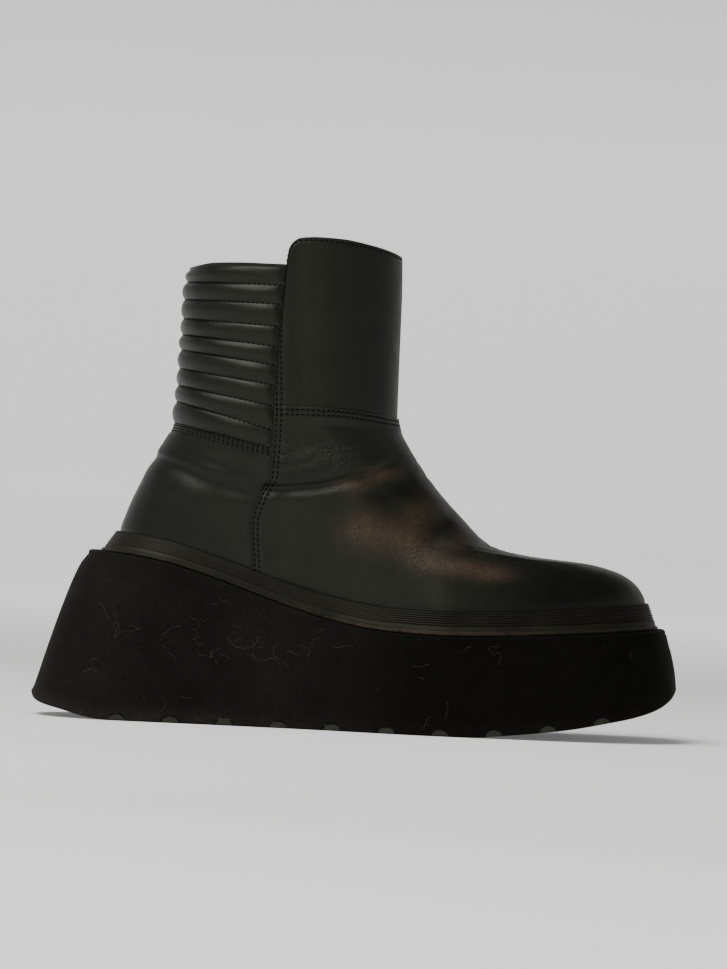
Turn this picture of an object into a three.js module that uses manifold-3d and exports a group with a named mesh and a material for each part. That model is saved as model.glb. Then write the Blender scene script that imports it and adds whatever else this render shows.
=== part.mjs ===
// Platform boot for the right foot, empty and standing on its sole.
// A thick moulded platform carries a ridged welt, a leather upper with a short shaft, and an insole.
// The shaft opens by a zip on the inside of the foot. Its pull tab hangs on the slider.
// X runs from heel to toe, Y towards the inside of the foot, Z up. Sizes are in millimetres.
// While the pieces are worked out, X = 0 is the rearmost point of the platform and Z = 0 the floor.

import * as THREE from 'three';
import Module from 'manifold-3d';
import { mergeVertices } from 'three/addons/utils/BufferGeometryUtils.js';

const wasm = await Module();
wasm.setup();

// Driving dimensions
const HEEL_POWER = 2.2;          // fullness of the rounding at heel and toe, 2 for an ellipse
const TOE_POWER = 2.25;
const WALL = 2.4;                 // leather, padding and lining of the upper
const GAP = 0.3;                  // clearance between neighbouring pieces
const INSOLE_THICKNESS = 4;
const WELT_TOP_LEVEL = 87;        // level of the upper at which the welt ends
const NOTCH_PITCH = 25;           // blind notches along the lower edge of the platform
const NOTCH_FIRST = 41.5;
const NOTCH_COUNT = 10;
const NOTCH_WIDTH = 5;
const NOTCH_HEIGHT = 3;
const NOTCH_DEPTH = 7;
const NOTCH_SIDES = 12;
const GROOVE_DEPTH = 2.5;         // cross grooves of the tread, between the notches
const GROOVE_WIDTH = 4;
const GROOVE_MARGIN = 17;         // from the end of a groove to the edge of the tread
const ZIP_SLIT = 7;               // width of the opening in the upper
const ZIP_TAPE_DEPTH = 0.5;       // the tape lies this far under the face of the leather
const ZIP_TAPE_THICKNESS = 1.4;
const ZIP_BOTTOM = 94;
const ZIP_TOP = 212;
const ABOVE_COLLAR = 240;         // height at which the slit has left the leather
const INSIDE_FACE = { near: 5, far: 80 };  // stretch of Y that holds the inside face of the foot
const SLIDER_HEIGHT = 202;
const SLIDER_STANDOFF = 0.45;     // from the skin to the back of the slider
const EDGE_EASE = 1.2;            // the platform's lower edge is eased by this much

// Columns of every ring: from the back point to the side seam, past it, and on to the front point
const REAR_COLUMNS = 11;
const FRONT_COLUMNS = 17;
const SEAM_STEPS = [0.6, 3, 6];   // columns close in front of the seam, where the collar steps up
const SIDE_COLUMNS = REAR_COLUMNS + SEAM_STEPS.length + FRONT_COLUMNS;

// Where along a ring its five half widths are given, as a share of its length
const STATIONS = { heel: 0.14, waist: 0.4, ball: 0.64, vamp: 0.8, toe: 0.92 };

// Top of the platform, on which welt, upper and insole stand
const BED = [
  { x: 20, z: 78.2 },
  { x: 41, z: 76.9 },
  { x: 60, z: 74.2 },
  { x: 82, z: 68.2 },
  { x: 120, z: 55.9 },
  { x: 145, z: 49.5 },
  { x: 164, z: 47.0 },
  { x: 190, z: 46.3 },
  { x: 217, z: 47.3 },
  { x: 257, z: 49.7 },
  { x: 300, z: 53.2 },
];

// Underside of the platform: heel bevel, flat stretch from heel to ball, toe spring
const UNDERSIDE = [
  { x: 0, z: 10.6 },
  { x: 1.4, z: 7.9 },
  { x: 5, z: 6.0 },
  { x: 15, z: 3.8 },
  { x: 28, z: 0.9 },
  { x: 38, z: 0 },
  { x: 204, z: 0 },
  { x: 221, z: 1.5 },
  { x: 237, z: 3.4 },
  { x: 252, z: 5.6 },
  { x: 268, z: 8.9 },
  { x: 282, z: 12.2 },
  { x: 292, z: 15.8 },
  { x: 299, z: 20.6 },
  { x: 301.6, z: 24.6 },
];

// Middle line of the foot: outwards at the waist, inwards at the toe
const SWING = [
  { x: 0, y: 0 },
  { x: 60, y: 0 },
  { x: 130, y: -3.5 },
  { x: 185, y: -1 },
  { x: 240, y: 5.5 },
  { x: 302, y: 12 },
];

// Rows of the platform's wall, from its lower edge (share 0) to its top edge (share 1)
const PLATFORM = [
  { share: 0.0, back: 0, front: 301.6, heel: 47, waist: 42.5, ball: 56.5, vamp: 56.5, toe: 56 },
  { share: 0.3, back: 5.6, front: 300.7, heel: 45.8, waist: 41.5, ball: 55.8, vamp: 55.8, toe: 55.3 },
  { share: 0.6, back: 12, front: 298.9, heel: 44.4, waist: 40.3, ball: 54.8, vamp: 54.8, toe: 54.4 },
  { share: 0.85, back: 18.5, front: 296.5, heel: 43, waist: 39.2, ball: 53.8, vamp: 53.8, toe: 53.4 },
  { share: 1.0, back: 24, front: 295.2, heel: 42, waist: 38.5, ball: 53.2, vamp: 53.2, toe: 52.8 },
];
const PLATFORM_ENDS = { heelRound: 47, toeRound: 50, toePower: 2.7, swing: 1, seam: 100, seamStep: 2.5 };

// Welt: its foot on the platform and its top edge against the upper
const WELT = [
  { share: 0, back: 30, front: 291.5, heel: 37.6, waist: 36, ball: 51.3, vamp: 51.2, toe: 50.6 },
  { share: 1, back: 36.4, front: 287, heel: 33.6, waist: 33, ball: 47.8, vamp: 47.6, toe: 46.6 },
];
const WELT_ENDS = { heelRound: 38, toeRound: 58, toePower: 2.4, swing: 1, seam: 100 };

// Rows of the upper. The level is the height at the back; the front point climbs the toe, the vamp
// and the instep. Follow is how far a row keeps the curve of the bed, swing how far that of the foot,
// and lift how much of the collar line it takes.
const UPPER = [
  { level: 77.6, back: 39, front: 283.5, frontZ: 51.9, follow: 1, swing: 1, lift: 0,
    heel: 31, waist: 30.5, ball: 46.5, vamp: 46.5, toe: 46, heelRound: 34, toeRound: 62 },
  { level: 87, back: 38.3, front: 285.2, frontZ: 64, follow: 1, swing: 1, lift: 0,
    heel: 31.4, waist: 31, ball: 46, vamp: 45.6, toe: 44, heelRound: 34, toeRound: 62 },
  { level: 95, back: 40.5, front: 282, frontZ: 71.5, follow: 0.92, swing: 1, lift: 0,
    heel: 31.4, waist: 32, ball: 43.8, vamp: 42.8, toe: 41.4, heelRound: 34, toeRound: 62 },
  { level: 103, back: 43.5, front: 273, frontZ: 79.2, follow: 0.75, swing: 1, lift: 0,
    heel: 31.4, waist: 32.5, ball: 40, vamp: 35.4, toe: 32.4, heelRound: 34, toeRound: 44 },
  { level: 110, back: 46.6, front: 257, frontZ: 84.4, follow: 0.55, swing: 1, lift: 0,
    heel: 31.2, waist: 32.8, ball: 36.6, vamp: 30, toe: 23.6, heelRound: 34, toeRound: 22 },
  { level: 117, back: 49.7, front: 236, frontZ: 86.8, follow: 0.42, swing: 0.95, lift: 0,
    heel: 31, waist: 33, ball: 34.6, vamp: 31.8, toe: 24, heelRound: 34, toeRound: 20 },
  { level: 124, back: 53.2, front: 214, frontZ: 91.6, follow: 0.38, swing: 0.85, lift: 0,
    heel: 31.2, waist: 33.4, ball: 34, vamp: 32.4, toe: 29.4, heelRound: 35, toeRound: 18 },
  { level: 131, back: 57.2, front: 196, frontZ: 106.4, follow: 0.3, swing: 0.6, lift: 0,
    heel: 32.4, waist: 34.6, ball: 34.6, vamp: 30.4, toe: 27, heelRound: 37, toeRound: 22 },
  { level: 138, back: 60.4, front: 177.5, frontZ: 125.5, follow: 0.15, swing: 0.35, lift: 0,
    heel: 34.4, waist: 36.6, ball: 36, vamp: 32.4, toe: 28.6, heelRound: 40, toeRound: 30 },
  { level: 147, back: 60.9, front: 165.2, frontZ: 145, follow: 0, swing: 0.15, lift: 0,
    heel: 36.6, waist: 38.6, ball: 38.6, vamp: 37.8, toe: 36.6, heelRound: 43, toeRound: 43 },
  { level: 177, back: 62.2, front: 164.9, frontZ: 177, follow: 0, swing: 0, lift: 0,
    heel: 37.4, waist: 39.6, ball: 39.6, vamp: 38.8, toe: 37.6, heelRound: 45, toeRound: 45 },
  { level: 197, back: 62.5, front: 164.8, frontZ: 200, follow: 0, swing: 0, lift: 0,
    heel: 37.6, waist: 40, ball: 40, vamp: 39.2, toe: 38, heelRound: 46, toeRound: 46 },
  { level: 211.6, back: 64.4, front: 164.1, frontZ: 221, follow: 0, swing: 0, lift: 1,
    heel: 37.4, waist: 40, ball: 40, vamp: 39.2, toe: 37.8, heelRound: 46, toeRound: 46 },
];
const UPPER_LEVELS = [77.6, 82, 87, 91, 95, 99, 103, 106.5, 110, 113.5, 117, 120.5, 124, 127.5, 131, 134.5,
  138, 142, 147, 156, 166, 177, 187, 197, 203, 208, 211.6];

// Side seam of the shaft and quarter, down to the welt; the zip runs opposite it on the inside
const SEAM = [
  { z: 74, x: 100.9 },
  { z: 94, x: 99.3 },
  { z: 110, x: 103.8 },
  { z: 118, x: 107.2 },
  { z: 172, x: 108.1 },
  { z: 214, x: 110.4 },
];

// Collar line, outside and inside of the foot. Outside, the front panel stands above the back one.
const COLLAR_OUTSIDE = [
  { x: 64, z: 211.4 },
  { x: 77, z: 214.1 },
  { x: 95, z: 214.7 },
  { x: 110.4, z: 214.7 },
  { x: 111, z: 220.5 },
  { x: 113.4, z: 225.5 },
  { x: 116.4, z: 227.3 },
  { x: 125, z: 228 },
  { x: 136, z: 227.6 },
  { x: 150, z: 225.4 },
  { x: 160, z: 222.8 },
  { x: 164.2, z: 221 },
];
const COLLAR_INSIDE = [
  { x: 64, z: 211.4 },
  { x: 77, z: 214.1 },
  { x: 95, z: 214.8 },
  { x: 116, z: 215 },
  { x: 140, z: 216 },
  { x: 156, z: 218.6 },
  { x: 164.2, z: 221 },
];

// Zip line on the inside of the foot
const ZIP = [
  { z: 90, x: 104 },
  { z: 120, x: 107 },
  { z: 216, x: 108.5 },
];

// Curves through short tables. The slope at each row keeps the curve from overshooting it.
function steps(rows, along, column) {
  return rows.slice(1).map((row, i) => (row[column] - rows[i][column]) / (row[along] - rows[i][along]));
}

function slopes(rows, along, column) {
  const rise = steps(rows, along, column);
  return rows.map((row, i) => {
    if (i === 0) return rise[0];
    if (i === rows.length - 1) return rise[i - 1];
    if (rise[i - 1] * rise[i] <= 0) return 0;
    return (2 * rise[i - 1] * rise[i]) / (rise[i - 1] + rise[i]);
  });
}

function curve(rows, along, column) {
  const slope = slopes(rows, along, column);
  return (at) => {
    const a = THREE.MathUtils.clamp(at, rows[0][along], rows.at(-1)[along]);
    const i = Math.min(rows.findLastIndex((row) => row[along] <= a), rows.length - 2);
    const span = rows[i + 1][along] - rows[i][along];
    const t = (a - rows[i][along]) / span;
    const s = 1 - t;
    return rows[i][column] * (1 + 2 * t) * s * s + rows[i + 1][column] * (1 + 2 * s) * t * t
      + span * s * t * (slope[i] * s - slope[i + 1] * t);
  };
}

const bed = curve(BED, 'x', 'z');
const underside = curve(UNDERSIDE, 'x', 'z');
const swing = curve(SWING, 'x', 'y');
const seam = curve(SEAM, 'z', 'x');
const zipLine = curve(ZIP, 'z', 'x');
const collar = { outside: curve(COLLAR_OUTSIDE, 'x', 'z'), inside: curve(COLLAR_INSIDE, 'x', 'z') };

// A row of a table, at any place along it, as an object with the same columns
function rowReader(rows, along) {
  const readers = Object.keys(rows[0]).map((column) => [column, curve(rows, along, column)]);
  return (at) => Object.fromEntries(readers.map(([column, read]) => [column, read(at)]));
}

// Rounding of a ring's end: 0 at the end point, 1 from the given distance on
function rounding(distance, reach, power) {
  const t = Math.min(Math.max(distance, 0) / reach, 1);
  return (1 - (1 - t) ** power) ** (1 / power);
}

// Half width of a ring at x. The outside of the toe is rounded over a longer stretch than the inside.
const OUTSIDE_REACH = 0.35;

function halfWidth(ring, x, side) {
  const stations = Object.keys(STATIONS).map((name) => ({ share: STATIONS[name], width: ring[name] }));
  const share = (x - ring.back) / (ring.front - ring.back);
  const reach = ring.toeRound * (side < 0 ? 1 + OUTSIDE_REACH * ring.swing : 1);
  const heel = rounding(x - ring.back, ring.heelRound, HEEL_POWER);
  const toe = rounding(ring.front - x, reach, ring.toePower ?? TOE_POWER);
  return curve(stations, 'share', 'width')(share) * heel * toe;
}

// X of each column of a ring, from its back point to its front point
function columnsOf(ring) {
  const xs = [];
  for (let i = 0; i <= REAR_COLUMNS; i += 1) {
    xs.push(ring.back + (ring.seam - ring.back) * (1 - Math.cos((Math.PI / 2) * (i / REAR_COLUMNS))));
  }
  for (const step of SEAM_STEPS) xs.push(ring.seam + step * (ring.seamStep ?? 1));
  const start = xs.at(-1);
  for (let i = 1; i <= FRONT_COLUMNS; i += 1) {
    xs.push(start + (ring.front - start) * Math.sin((Math.PI / 2) * (i / FRONT_COLUMNS)));
  }
  return xs;
}

// Points of a ring: back point, outside of the foot, front point, inside of the foot
function ringPoints(ring, heightAt) {
  const xs = columnsOf(ring);
  const point = (x, side) => {
    const middle = swing(x) * ring.swing;
    return new THREE.Vector3(x, middle + side * halfWidth(ring, x, side), heightAt(x, side));
  };
  const outside = xs.map((x) => point(x, -1));
  const inside = xs.slice(1, -1).reverse().map((x) => point(x, 1));
  return [...outside, ...inside];
}

// Closed solid through rings of equal length. Open ends are closed across the foot, column to column;
// a loop joins the last ring to the first, which makes a hollow form.
function loft(rings, loop = false) {
  const count = rings[0].length;
  const faces = [];
  const at = (ring, column) => (ring % rings.length) * count + ((column + count) % count);
  const bands = loop ? rings.length : rings.length - 1;
  for (let i = 0; i < bands; i += 1) {
    for (let j = 0; j < count; j += 1) {
      faces.push(at(i, j), at(i, j + 1), at(i + 1, j + 1), at(i, j), at(i + 1, j + 1), at(i + 1, j));
    }
  }
  if (!loop) {
    for (const [ring, turn] of [[0, false], [rings.length - 1, true]]) {
      for (let j = 0; j < count / 2; j += 1) {
        const quad = [at(ring, j), at(ring, -j), at(ring, -j - 1), at(ring, j + 1)];
        if (turn) quad.reverse();
        const [a, b, c, d] = quad;
        for (const face of [[a, b, c], [a, c, d]]) {
          if (new Set(face).size === 3) faces.push(...face);
        }
      }
    }
  }
  const geometry = new THREE.BufferGeometry();
  const positions = rings.flat().flatMap((p) => [p.x, p.y, p.z]);
  geometry.setAttribute('position', new THREE.Float32BufferAttribute(positions, 3));
  geometry.setIndex(faces);
  return geometry;
}

// Booleans
function solid(geometry) {
  const bare = geometry.clone();
  bare.deleteAttribute('normal');
  bare.deleteAttribute('uv');
  const merged = mergeVertices(bare, 1e-4);
  return new wasm.Manifold(new wasm.Mesh({
    numProp: 3,
    vertProperties: Float32Array.from(merged.attributes.position.array),
    triVerts: Uint32Array.from(merged.index.array),
  }));
}

function geometryOf(manifold) {
  const mesh = manifold.getMesh();
  const geometry = new THREE.BufferGeometry();
  geometry.setAttribute('position', new THREE.BufferAttribute(mesh.vertProperties, 3));
  geometry.setIndex(new THREE.BufferAttribute(mesh.triVerts, 1));
  return geometry;
}

function join(...geometries) {
  return geometryOf(geometries.map(solid).reduce((sum, next) => sum.add(next)));
}

function cut(geometry, ...cutters) {
  return geometryOf(cutters.map(solid).reduce((rest, next) => rest.subtract(next), solid(geometry)));
}

// An outline drawn in X and Z, given a thickness along Y from the near to the far face
function slab(shape, near, far, segments = 6) {
  const geometry = new THREE.ExtrudeGeometry(shape, {
    depth: far - near, bevelEnabled: false, curveSegments: segments,
  });
  geometry.rotateX(Math.PI / 2);
  geometry.translate(0, far, 0);
  return geometry;
}

// Upper: outer rings by level, and the skin at a depth under them
const upperRow = rowReader(UPPER, 'level');
const FEATHER = UPPER[0];

function upperHeight(level) {
  const row = upperRow(level);
  const chord = (x) => {
    const share = (x - FEATHER.back) / (FEATHER.front - FEATHER.back);
    return THREE.MathUtils.lerp(bed(FEATHER.back), bed(FEATHER.front), share);
  };
  const straight = (x) => THREE.MathUtils.lerp(level, row.frontZ, (x - row.back) / (row.front - row.back));
  return (x, side) => {
    if (level === FEATHER.level) return bed(x) + GAP;
    const z = straight(x) + row.follow * (bed(x) - chord(x));
    const line = side < 0 ? collar.outside : collar.inside;
    return z + row.lift * (line(x) - straight(x));
  };
}

function upperRing(level) {
  return ringPoints({ ...upperRow(level), seam: seam(level) }, upperHeight(level));
}

// Rings moved inwards, square to the skin; the first and last stay at their own height
function inset(rings, depth) {
  const count = rings[0].length;
  return rings.map((ring, i) => ring.map((point, j) => {
    const below = rings[Math.max(i - 1, 0)][j];
    const above = rings[Math.min(i + 1, rings.length - 1)][j];
    const before = ring[(j + count - 1) % count];
    const after = ring[(j + 1) % count];
    const normal = after.clone().sub(before).cross(above.clone().sub(below)).normalize();
    if (i === 0 || i === rings.length - 1) normal.setZ(0).normalize();
    return point.clone().addScaledVector(normal, -depth);
  }));
}

const skin = UPPER_LEVELS.map(upperRing);

function skinShell(outerDepth, innerDepth) {
  const inner = inset(skin, innerDepth).filter((ring, i) => i % 2 === 0 || i === skin.length - 1);
  return loft([...inset(skin, outerDepth), ...inner.reverse()], true);
}

// Outline of the zip seen from the side, with a round lower end
const ZIP_STEP = 12;

function zipOutline(width, top) {
  const half = width / 2;
  const shape = new THREE.Shape();
  const heights = [];
  for (let z = ZIP_BOTTOM + ZIP_STEP / 2; z < top; z += ZIP_STEP) heights.push(z);
  heights.push(top);
  const foot = ZIP_BOTTOM + half;
  shape.absarc(zipLine(foot), foot, half, Math.PI, Math.PI * 2);
  for (const z of heights) shape.lineTo(zipLine(z) + half, z);
  for (const z of heights.reverse()) shape.lineTo(zipLine(z) - half, z);
  return shape;
}

function upper() {
  const slit = slab(zipOutline(ZIP_SLIT, ABOVE_COLLAR), INSIDE_FACE.near, INSIDE_FACE.far);
  return cut(skinShell(0, WALL), slit);
}

function zipTape() {
  const strip = slab(zipOutline(ZIP_SLIT - 2 * GAP, ZIP_TOP), INSIDE_FACE.near, INSIDE_FACE.far);
  const shell = skinShell(ZIP_TAPE_DEPTH, ZIP_TAPE_DEPTH + ZIP_TAPE_THICKNESS);
  return geometryOf(solid(shell).intersect(solid(strip)));
}

// Platform: wall rings between underside and bed, with a rounded top edge and an eased lower edge
const platformRow = rowReader(PLATFORM, 'share');

function platformOutline(share, narrower = 0) {
  const row = platformRow(share);
  for (const width of Object.keys(STATIONS)) row[width] -= narrower;
  row.back += narrower;
  row.front -= narrower;
  return { ...row, ...PLATFORM_ENDS };
}

function platformRing(share, { narrower = 0, lift = 0 } = {}) {
  const height = (x) => THREE.MathUtils.lerp(underside(x), bed(x), share) + lift;
  return ringPoints(platformOutline(share, narrower), height);
}

// Blind half-round notches along both lower edges, and cross grooves between them
function treadCutters() {
  const cutters = [];
  const tread = platformOutline(0);
  const cutter = { radius: NOTCH_WIDTH / 2, length: 6 * NOTCH_DEPTH };
  for (let i = 0; i < NOTCH_COUNT; i += 1) {
    const x = NOTCH_FIRST + i * NOTCH_PITCH;
    for (const side of [-1, 1]) {
      const notch = new THREE.CylinderGeometry(cutter.radius, cutter.radius, cutter.length, NOTCH_SIDES);
      notch.scale(1, 1, (2 * NOTCH_HEIGHT) / NOTCH_WIDTH);
      const depth = halfWidth(tread, x, side) - NOTCH_DEPTH + cutter.length / 2;
      notch.translate(x, swing(x) + side * depth, underside(x));
      cutters.push(notch);
    }
    if (i === NOTCH_COUNT - 1) break;
    const between = x + NOTCH_PITCH / 2;
    const length = 2 * (halfWidth(tread, between, -1) - GROOVE_MARGIN);
    const groove = new THREE.BoxGeometry(GROOVE_WIDTH, length, 2 * GROOVE_DEPTH);
    groove.translate(between, swing(between), underside(between));
    cutters.push(groove);
  }
  return cutters;
}

function platform() {
  const body = loft([
    platformRing(0, { narrower: EDGE_EASE }),
    platformRing(0, { lift: EDGE_EASE }),
    platformRing(0.3),
    platformRing(0.6),
    platformRing(0.85),
    platformRing(1, { lift: -2.2 }),
    platformRing(1, { narrower: 0.7, lift: -0.6 }),
    platformRing(1, { narrower: 2.2 }),
  ]);
  return cut(body, ...treadCutters());
}

// Welt: a sloping band round the foot of the upper, from the bed to the feather line
const weltRow = rowReader(WELT, 'share');
const weltTop = upperHeight(WELT_TOP_LEVEL);

function weltRing(share) {
  const ring = { ...weltRow(share), ...WELT_ENDS };
  return ringPoints(ring, (x) => THREE.MathUtils.lerp(bed(x) + GAP, weltTop(x), share));
}

function welt() {
  const outside = [0, 0.35, 0.7, 1].map(weltRing);
  const against = inset(skin, -GAP).slice(0, UPPER_LEVELS.indexOf(WELT_TOP_LEVEL) + 1);
  return loft([...outside, ...against.reverse()], true);
}

// Insole: fills the foot of the upper, clear of its lining
const INSOLE_GAP = 0.75;

function insole() {
  const outline = inset(skin, WALL + INSOLE_GAP)[0];
  const lift = (height) => outline.map((p) => new THREE.Vector3(p.x, p.y, bed(p.x) + GAP + height));
  return loft([lift(0), lift(INSOLE_THICKNESS)]);
}

// Zip slider: a plate with a bridge. Local Y points away from the boot, the pull turns about local X.
const SLIDER = { width: 9, foot: 6, length: 13, thickness: 2.4 };
const BRIDGE = { width: 1.8, half: 3.9, height: 4.1, bar: 1.2, post: 1.4, chamfer: 1.2, foot: -0.5 };
const PIVOT_HEIGHT = 1.45;

function sliderPlate() {
  const shape = new THREE.Shape();
  const half = SLIDER.length / 2;
  shape.moveTo(-SLIDER.foot / 2, -half);
  shape.lineTo(SLIDER.foot / 2, -half);
  shape.quadraticCurveTo(SLIDER.width / 2, -half * 0.3, SLIDER.width / 2, half * 0.55);
  shape.quadraticCurveTo(SLIDER.width / 2, half, SLIDER.width / 4, half);
  shape.lineTo(-SLIDER.width / 4, half);
  shape.quadraticCurveTo(-SLIDER.width / 2, half, -SLIDER.width / 2, half * 0.55);
  shape.quadraticCurveTo(-SLIDER.width / 2, -half * 0.3, -SLIDER.foot / 2, -half);
  return slab(shape, 0, SLIDER.thickness);
}

function sliderBridge() {
  const { half, height, bar, post, chamfer, foot, width } = BRIDGE;
  const shape = new THREE.Shape();
  shape.moveTo(foot, -half);
  shape.lineTo(height - chamfer, -half);
  shape.lineTo(height, -half + chamfer);
  shape.lineTo(height, half - chamfer);
  shape.lineTo(height - chamfer, half);
  shape.lineTo(foot, half);
  shape.lineTo(foot, half - post);
  shape.lineTo(height - bar, half - post);
  shape.lineTo(height - bar, -half + post);
  shape.lineTo(foot, -half + post);
  const bridge = new THREE.ExtrudeGeometry(shape, { depth: width, bevelEnabled: false });
  bridge.rotateX(Math.PI / 2);
  bridge.rotateZ(Math.PI / 2);
  bridge.translate(0, SLIDER.thickness, 0);
  bridge.computeBoundingBox();
  const box = bridge.boundingBox;
  bridge.translate(-(box.min.x + box.max.x) / 2, 0, 0);
  return bridge;
}

// Pull tab: an eye round the bridge, a thin tab and a thicker rounded grip
const PULL = {
  width: 6, eye: 2.8, barHalf: 0.7, eyeEnd: 4.7, length: 21, thickness: 1.2, grip: 1.8,
  shoulder: 3,                    // below the eye the tab narrows over this length
  waist: 0.5,                     // by this much on each side
  gripLength: 7,
};

function pullTab() {
  const half = PULL.width / 2;
  const narrow = half - PULL.waist;
  const neck = -PULL.eyeEnd - PULL.shoulder;
  const outline = new THREE.Shape();
  outline.moveTo(-half, PULL.barHalf);
  outline.lineTo(-narrow, neck);
  outline.lineTo(-narrow, -PULL.length + half);
  outline.lineTo(narrow, -PULL.length + half);
  outline.lineTo(narrow, neck);
  outline.lineTo(half, PULL.barHalf);
  const eye = new THREE.Path();
  eye.moveTo(-PULL.eye / 2, -PULL.barHalf);
  eye.lineTo(-PULL.eye / 2, -PULL.eyeEnd);
  eye.lineTo(PULL.eye / 2, -PULL.eyeEnd);
  eye.lineTo(PULL.eye / 2, -PULL.barHalf);
  outline.holes.push(eye);
  const tab = slab(outline, -PULL.thickness / 2, PULL.thickness / 2);
  const grip = new THREE.Shape();
  grip.moveTo(-half, -PULL.length + PULL.gripLength);
  grip.lineTo(-half, -PULL.length + half);
  grip.absarc(0, -PULL.length + half, half, Math.PI, Math.PI * 2);
  grip.lineTo(half, -PULL.length + PULL.gripLength);
  return join(tab, slab(grip, -PULL.grip / 2, PULL.grip / 2));
}

// Colours
const LEATHER = new THREE.MeshStandardMaterial({ color: 0x23241f, roughness: 0.42, metalness: 0 });
const RUBBER = new THREE.MeshStandardMaterial({ color: 0x16150f, roughness: 0.78, metalness: 0 });
const WELT_RUBBER = new THREE.MeshStandardMaterial({ color: 0x1a1914, roughness: 0.55, metalness: 0 });
const INSOLE_CLOTH = new THREE.MeshStandardMaterial({ color: 0x1b1a18, roughness: 0.9, metalness: 0 });
const TAPE_CLOTH = new THREE.MeshStandardMaterial({ color: 0x151515, roughness: 0.85, metalness: 0 });
const ZIP_METAL = new THREE.MeshStandardMaterial({ color: 0x2c2b29, roughness: 0.35, metalness: 1 });

function piece(name, geometry, material) {
  const mesh = new THREE.Mesh(geometry, material);
  mesh.name = name;
  return mesh;
}

// The slider lies on the leather at the top of the zip
const sliderX = zipLine(SLIDER_HEIGHT);
const sliderRow = upperRow(SLIDER_HEIGHT);
const sliderY = halfWidth(sliderRow, sliderX, 1) + swing(sliderX) * sliderRow.swing + SLIDER_STANDOFF;
const zipHead = new THREE.Group();
zipHead.position.set(sliderX, sliderY, SLIDER_HEIGHT);
zipHead.add(piece('zip_slider', join(sliderPlate(), sliderBridge()), ZIP_METAL));
const pull = piece('zip_pull', pullTab(), ZIP_METAL);
pull.position.y = SLIDER.thickness + PIVOT_HEIGHT;
zipHead.add(pull);

const boot = new THREE.Group();
boot.add(piece('outsole', platform(), RUBBER));
boot.add(piece('welt', welt(), WELT_RUBBER));
boot.add(piece('upper', upper(), LEATHER));
boot.add(piece('insole', insole(), INSOLE_CLOTH));
boot.add(piece('zip_tape', zipTape(), TAPE_CLOTH));
boot.add(zipHead);

// The origin is on the floor under the middle of the boot's box
const box = new THREE.Box3().setFromObject(boot);
boot.position.set(-(box.min.x + box.max.x) / 2, -(box.min.y + box.max.y) / 2, -box.min.z);

export default boot;
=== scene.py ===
# Platform boot for the right foot: the finish of every piece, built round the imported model.
# Shapes are worked out in millimetres, as a last maker would: X = 0 is the rearmost point of the
# platform, Z = 0 the floor, Y points to the inside of the foot. PLACE brings them into the frame.
import math

import bmesh
import bpy
import numpy as np
from mathutils import Matrix, Vector


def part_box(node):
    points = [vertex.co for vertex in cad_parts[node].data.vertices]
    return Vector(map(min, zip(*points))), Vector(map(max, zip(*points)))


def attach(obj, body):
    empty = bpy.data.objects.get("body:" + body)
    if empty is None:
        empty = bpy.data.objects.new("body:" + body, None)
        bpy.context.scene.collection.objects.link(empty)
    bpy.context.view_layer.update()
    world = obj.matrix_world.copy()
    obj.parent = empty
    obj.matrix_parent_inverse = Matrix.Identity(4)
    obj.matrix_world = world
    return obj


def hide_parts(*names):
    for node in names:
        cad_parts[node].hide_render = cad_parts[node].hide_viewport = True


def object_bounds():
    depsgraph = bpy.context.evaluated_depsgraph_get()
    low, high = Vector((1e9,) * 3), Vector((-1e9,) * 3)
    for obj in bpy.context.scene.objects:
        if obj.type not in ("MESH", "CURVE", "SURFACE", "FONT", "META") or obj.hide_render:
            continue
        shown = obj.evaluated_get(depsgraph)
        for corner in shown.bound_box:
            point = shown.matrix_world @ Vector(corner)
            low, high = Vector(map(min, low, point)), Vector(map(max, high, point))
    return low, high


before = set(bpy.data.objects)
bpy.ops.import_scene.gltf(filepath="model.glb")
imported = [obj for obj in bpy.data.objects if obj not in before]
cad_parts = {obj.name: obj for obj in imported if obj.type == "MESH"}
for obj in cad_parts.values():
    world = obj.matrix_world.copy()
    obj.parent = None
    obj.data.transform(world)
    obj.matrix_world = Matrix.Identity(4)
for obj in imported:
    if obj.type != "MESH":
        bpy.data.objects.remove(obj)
cad_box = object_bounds()

MM = 0.001

# ---------------------------------------------------------------- shape of the last and the platform
HEEL_POWER = 2.2
TOE_POWER = 2.25
OUTSIDE_REACH = 0.35            # the outside of the toe is rounded over a longer stretch
STATION_SHARES = (0.14, 0.4, 0.64, 0.8, 0.92)
STATION_NAMES = ("heel", "waist", "ball", "vamp", "toe")
SPLIT = 0.4                     # share of the way round at which the side seam and the zip run
RING_SPLIT = 100                # where the rings of platform, welt and insole turn from rear to fore
GAP = 0.3                       # air between the platform and the pieces that stand on it

BED = ((20, 78.2), (41, 76.9), (60, 74.2), (82, 68.2), (120, 55.9), (145, 49.5), (164, 47.0),
       (190, 46.3), (217, 47.3), (257, 49.7), (300, 53.2))
UNDERSIDE = ((0, 10.6), (1.4, 7.9), (5, 6.0), (15, 3.8), (28, 0.9), (38, 0), (204, 0), (221, 1.5),
             (237, 3.4), (252, 5.6), (268, 8.9), (282, 12.2), (292, 15.8), (299, 20.6), (301.6, 24.6))
SWING = ((0, 0), (60, 0), (130, -3.5), (185, -1), (240, 5.5), (302, 12))
SEAM = ((74, 100.9), (94, 99.3), (110, 103.8), (118, 107.2), (172, 108.1), (214, 110.4))
ZIP = ((90, 104), (120, 107), (216, 108.5))

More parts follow.
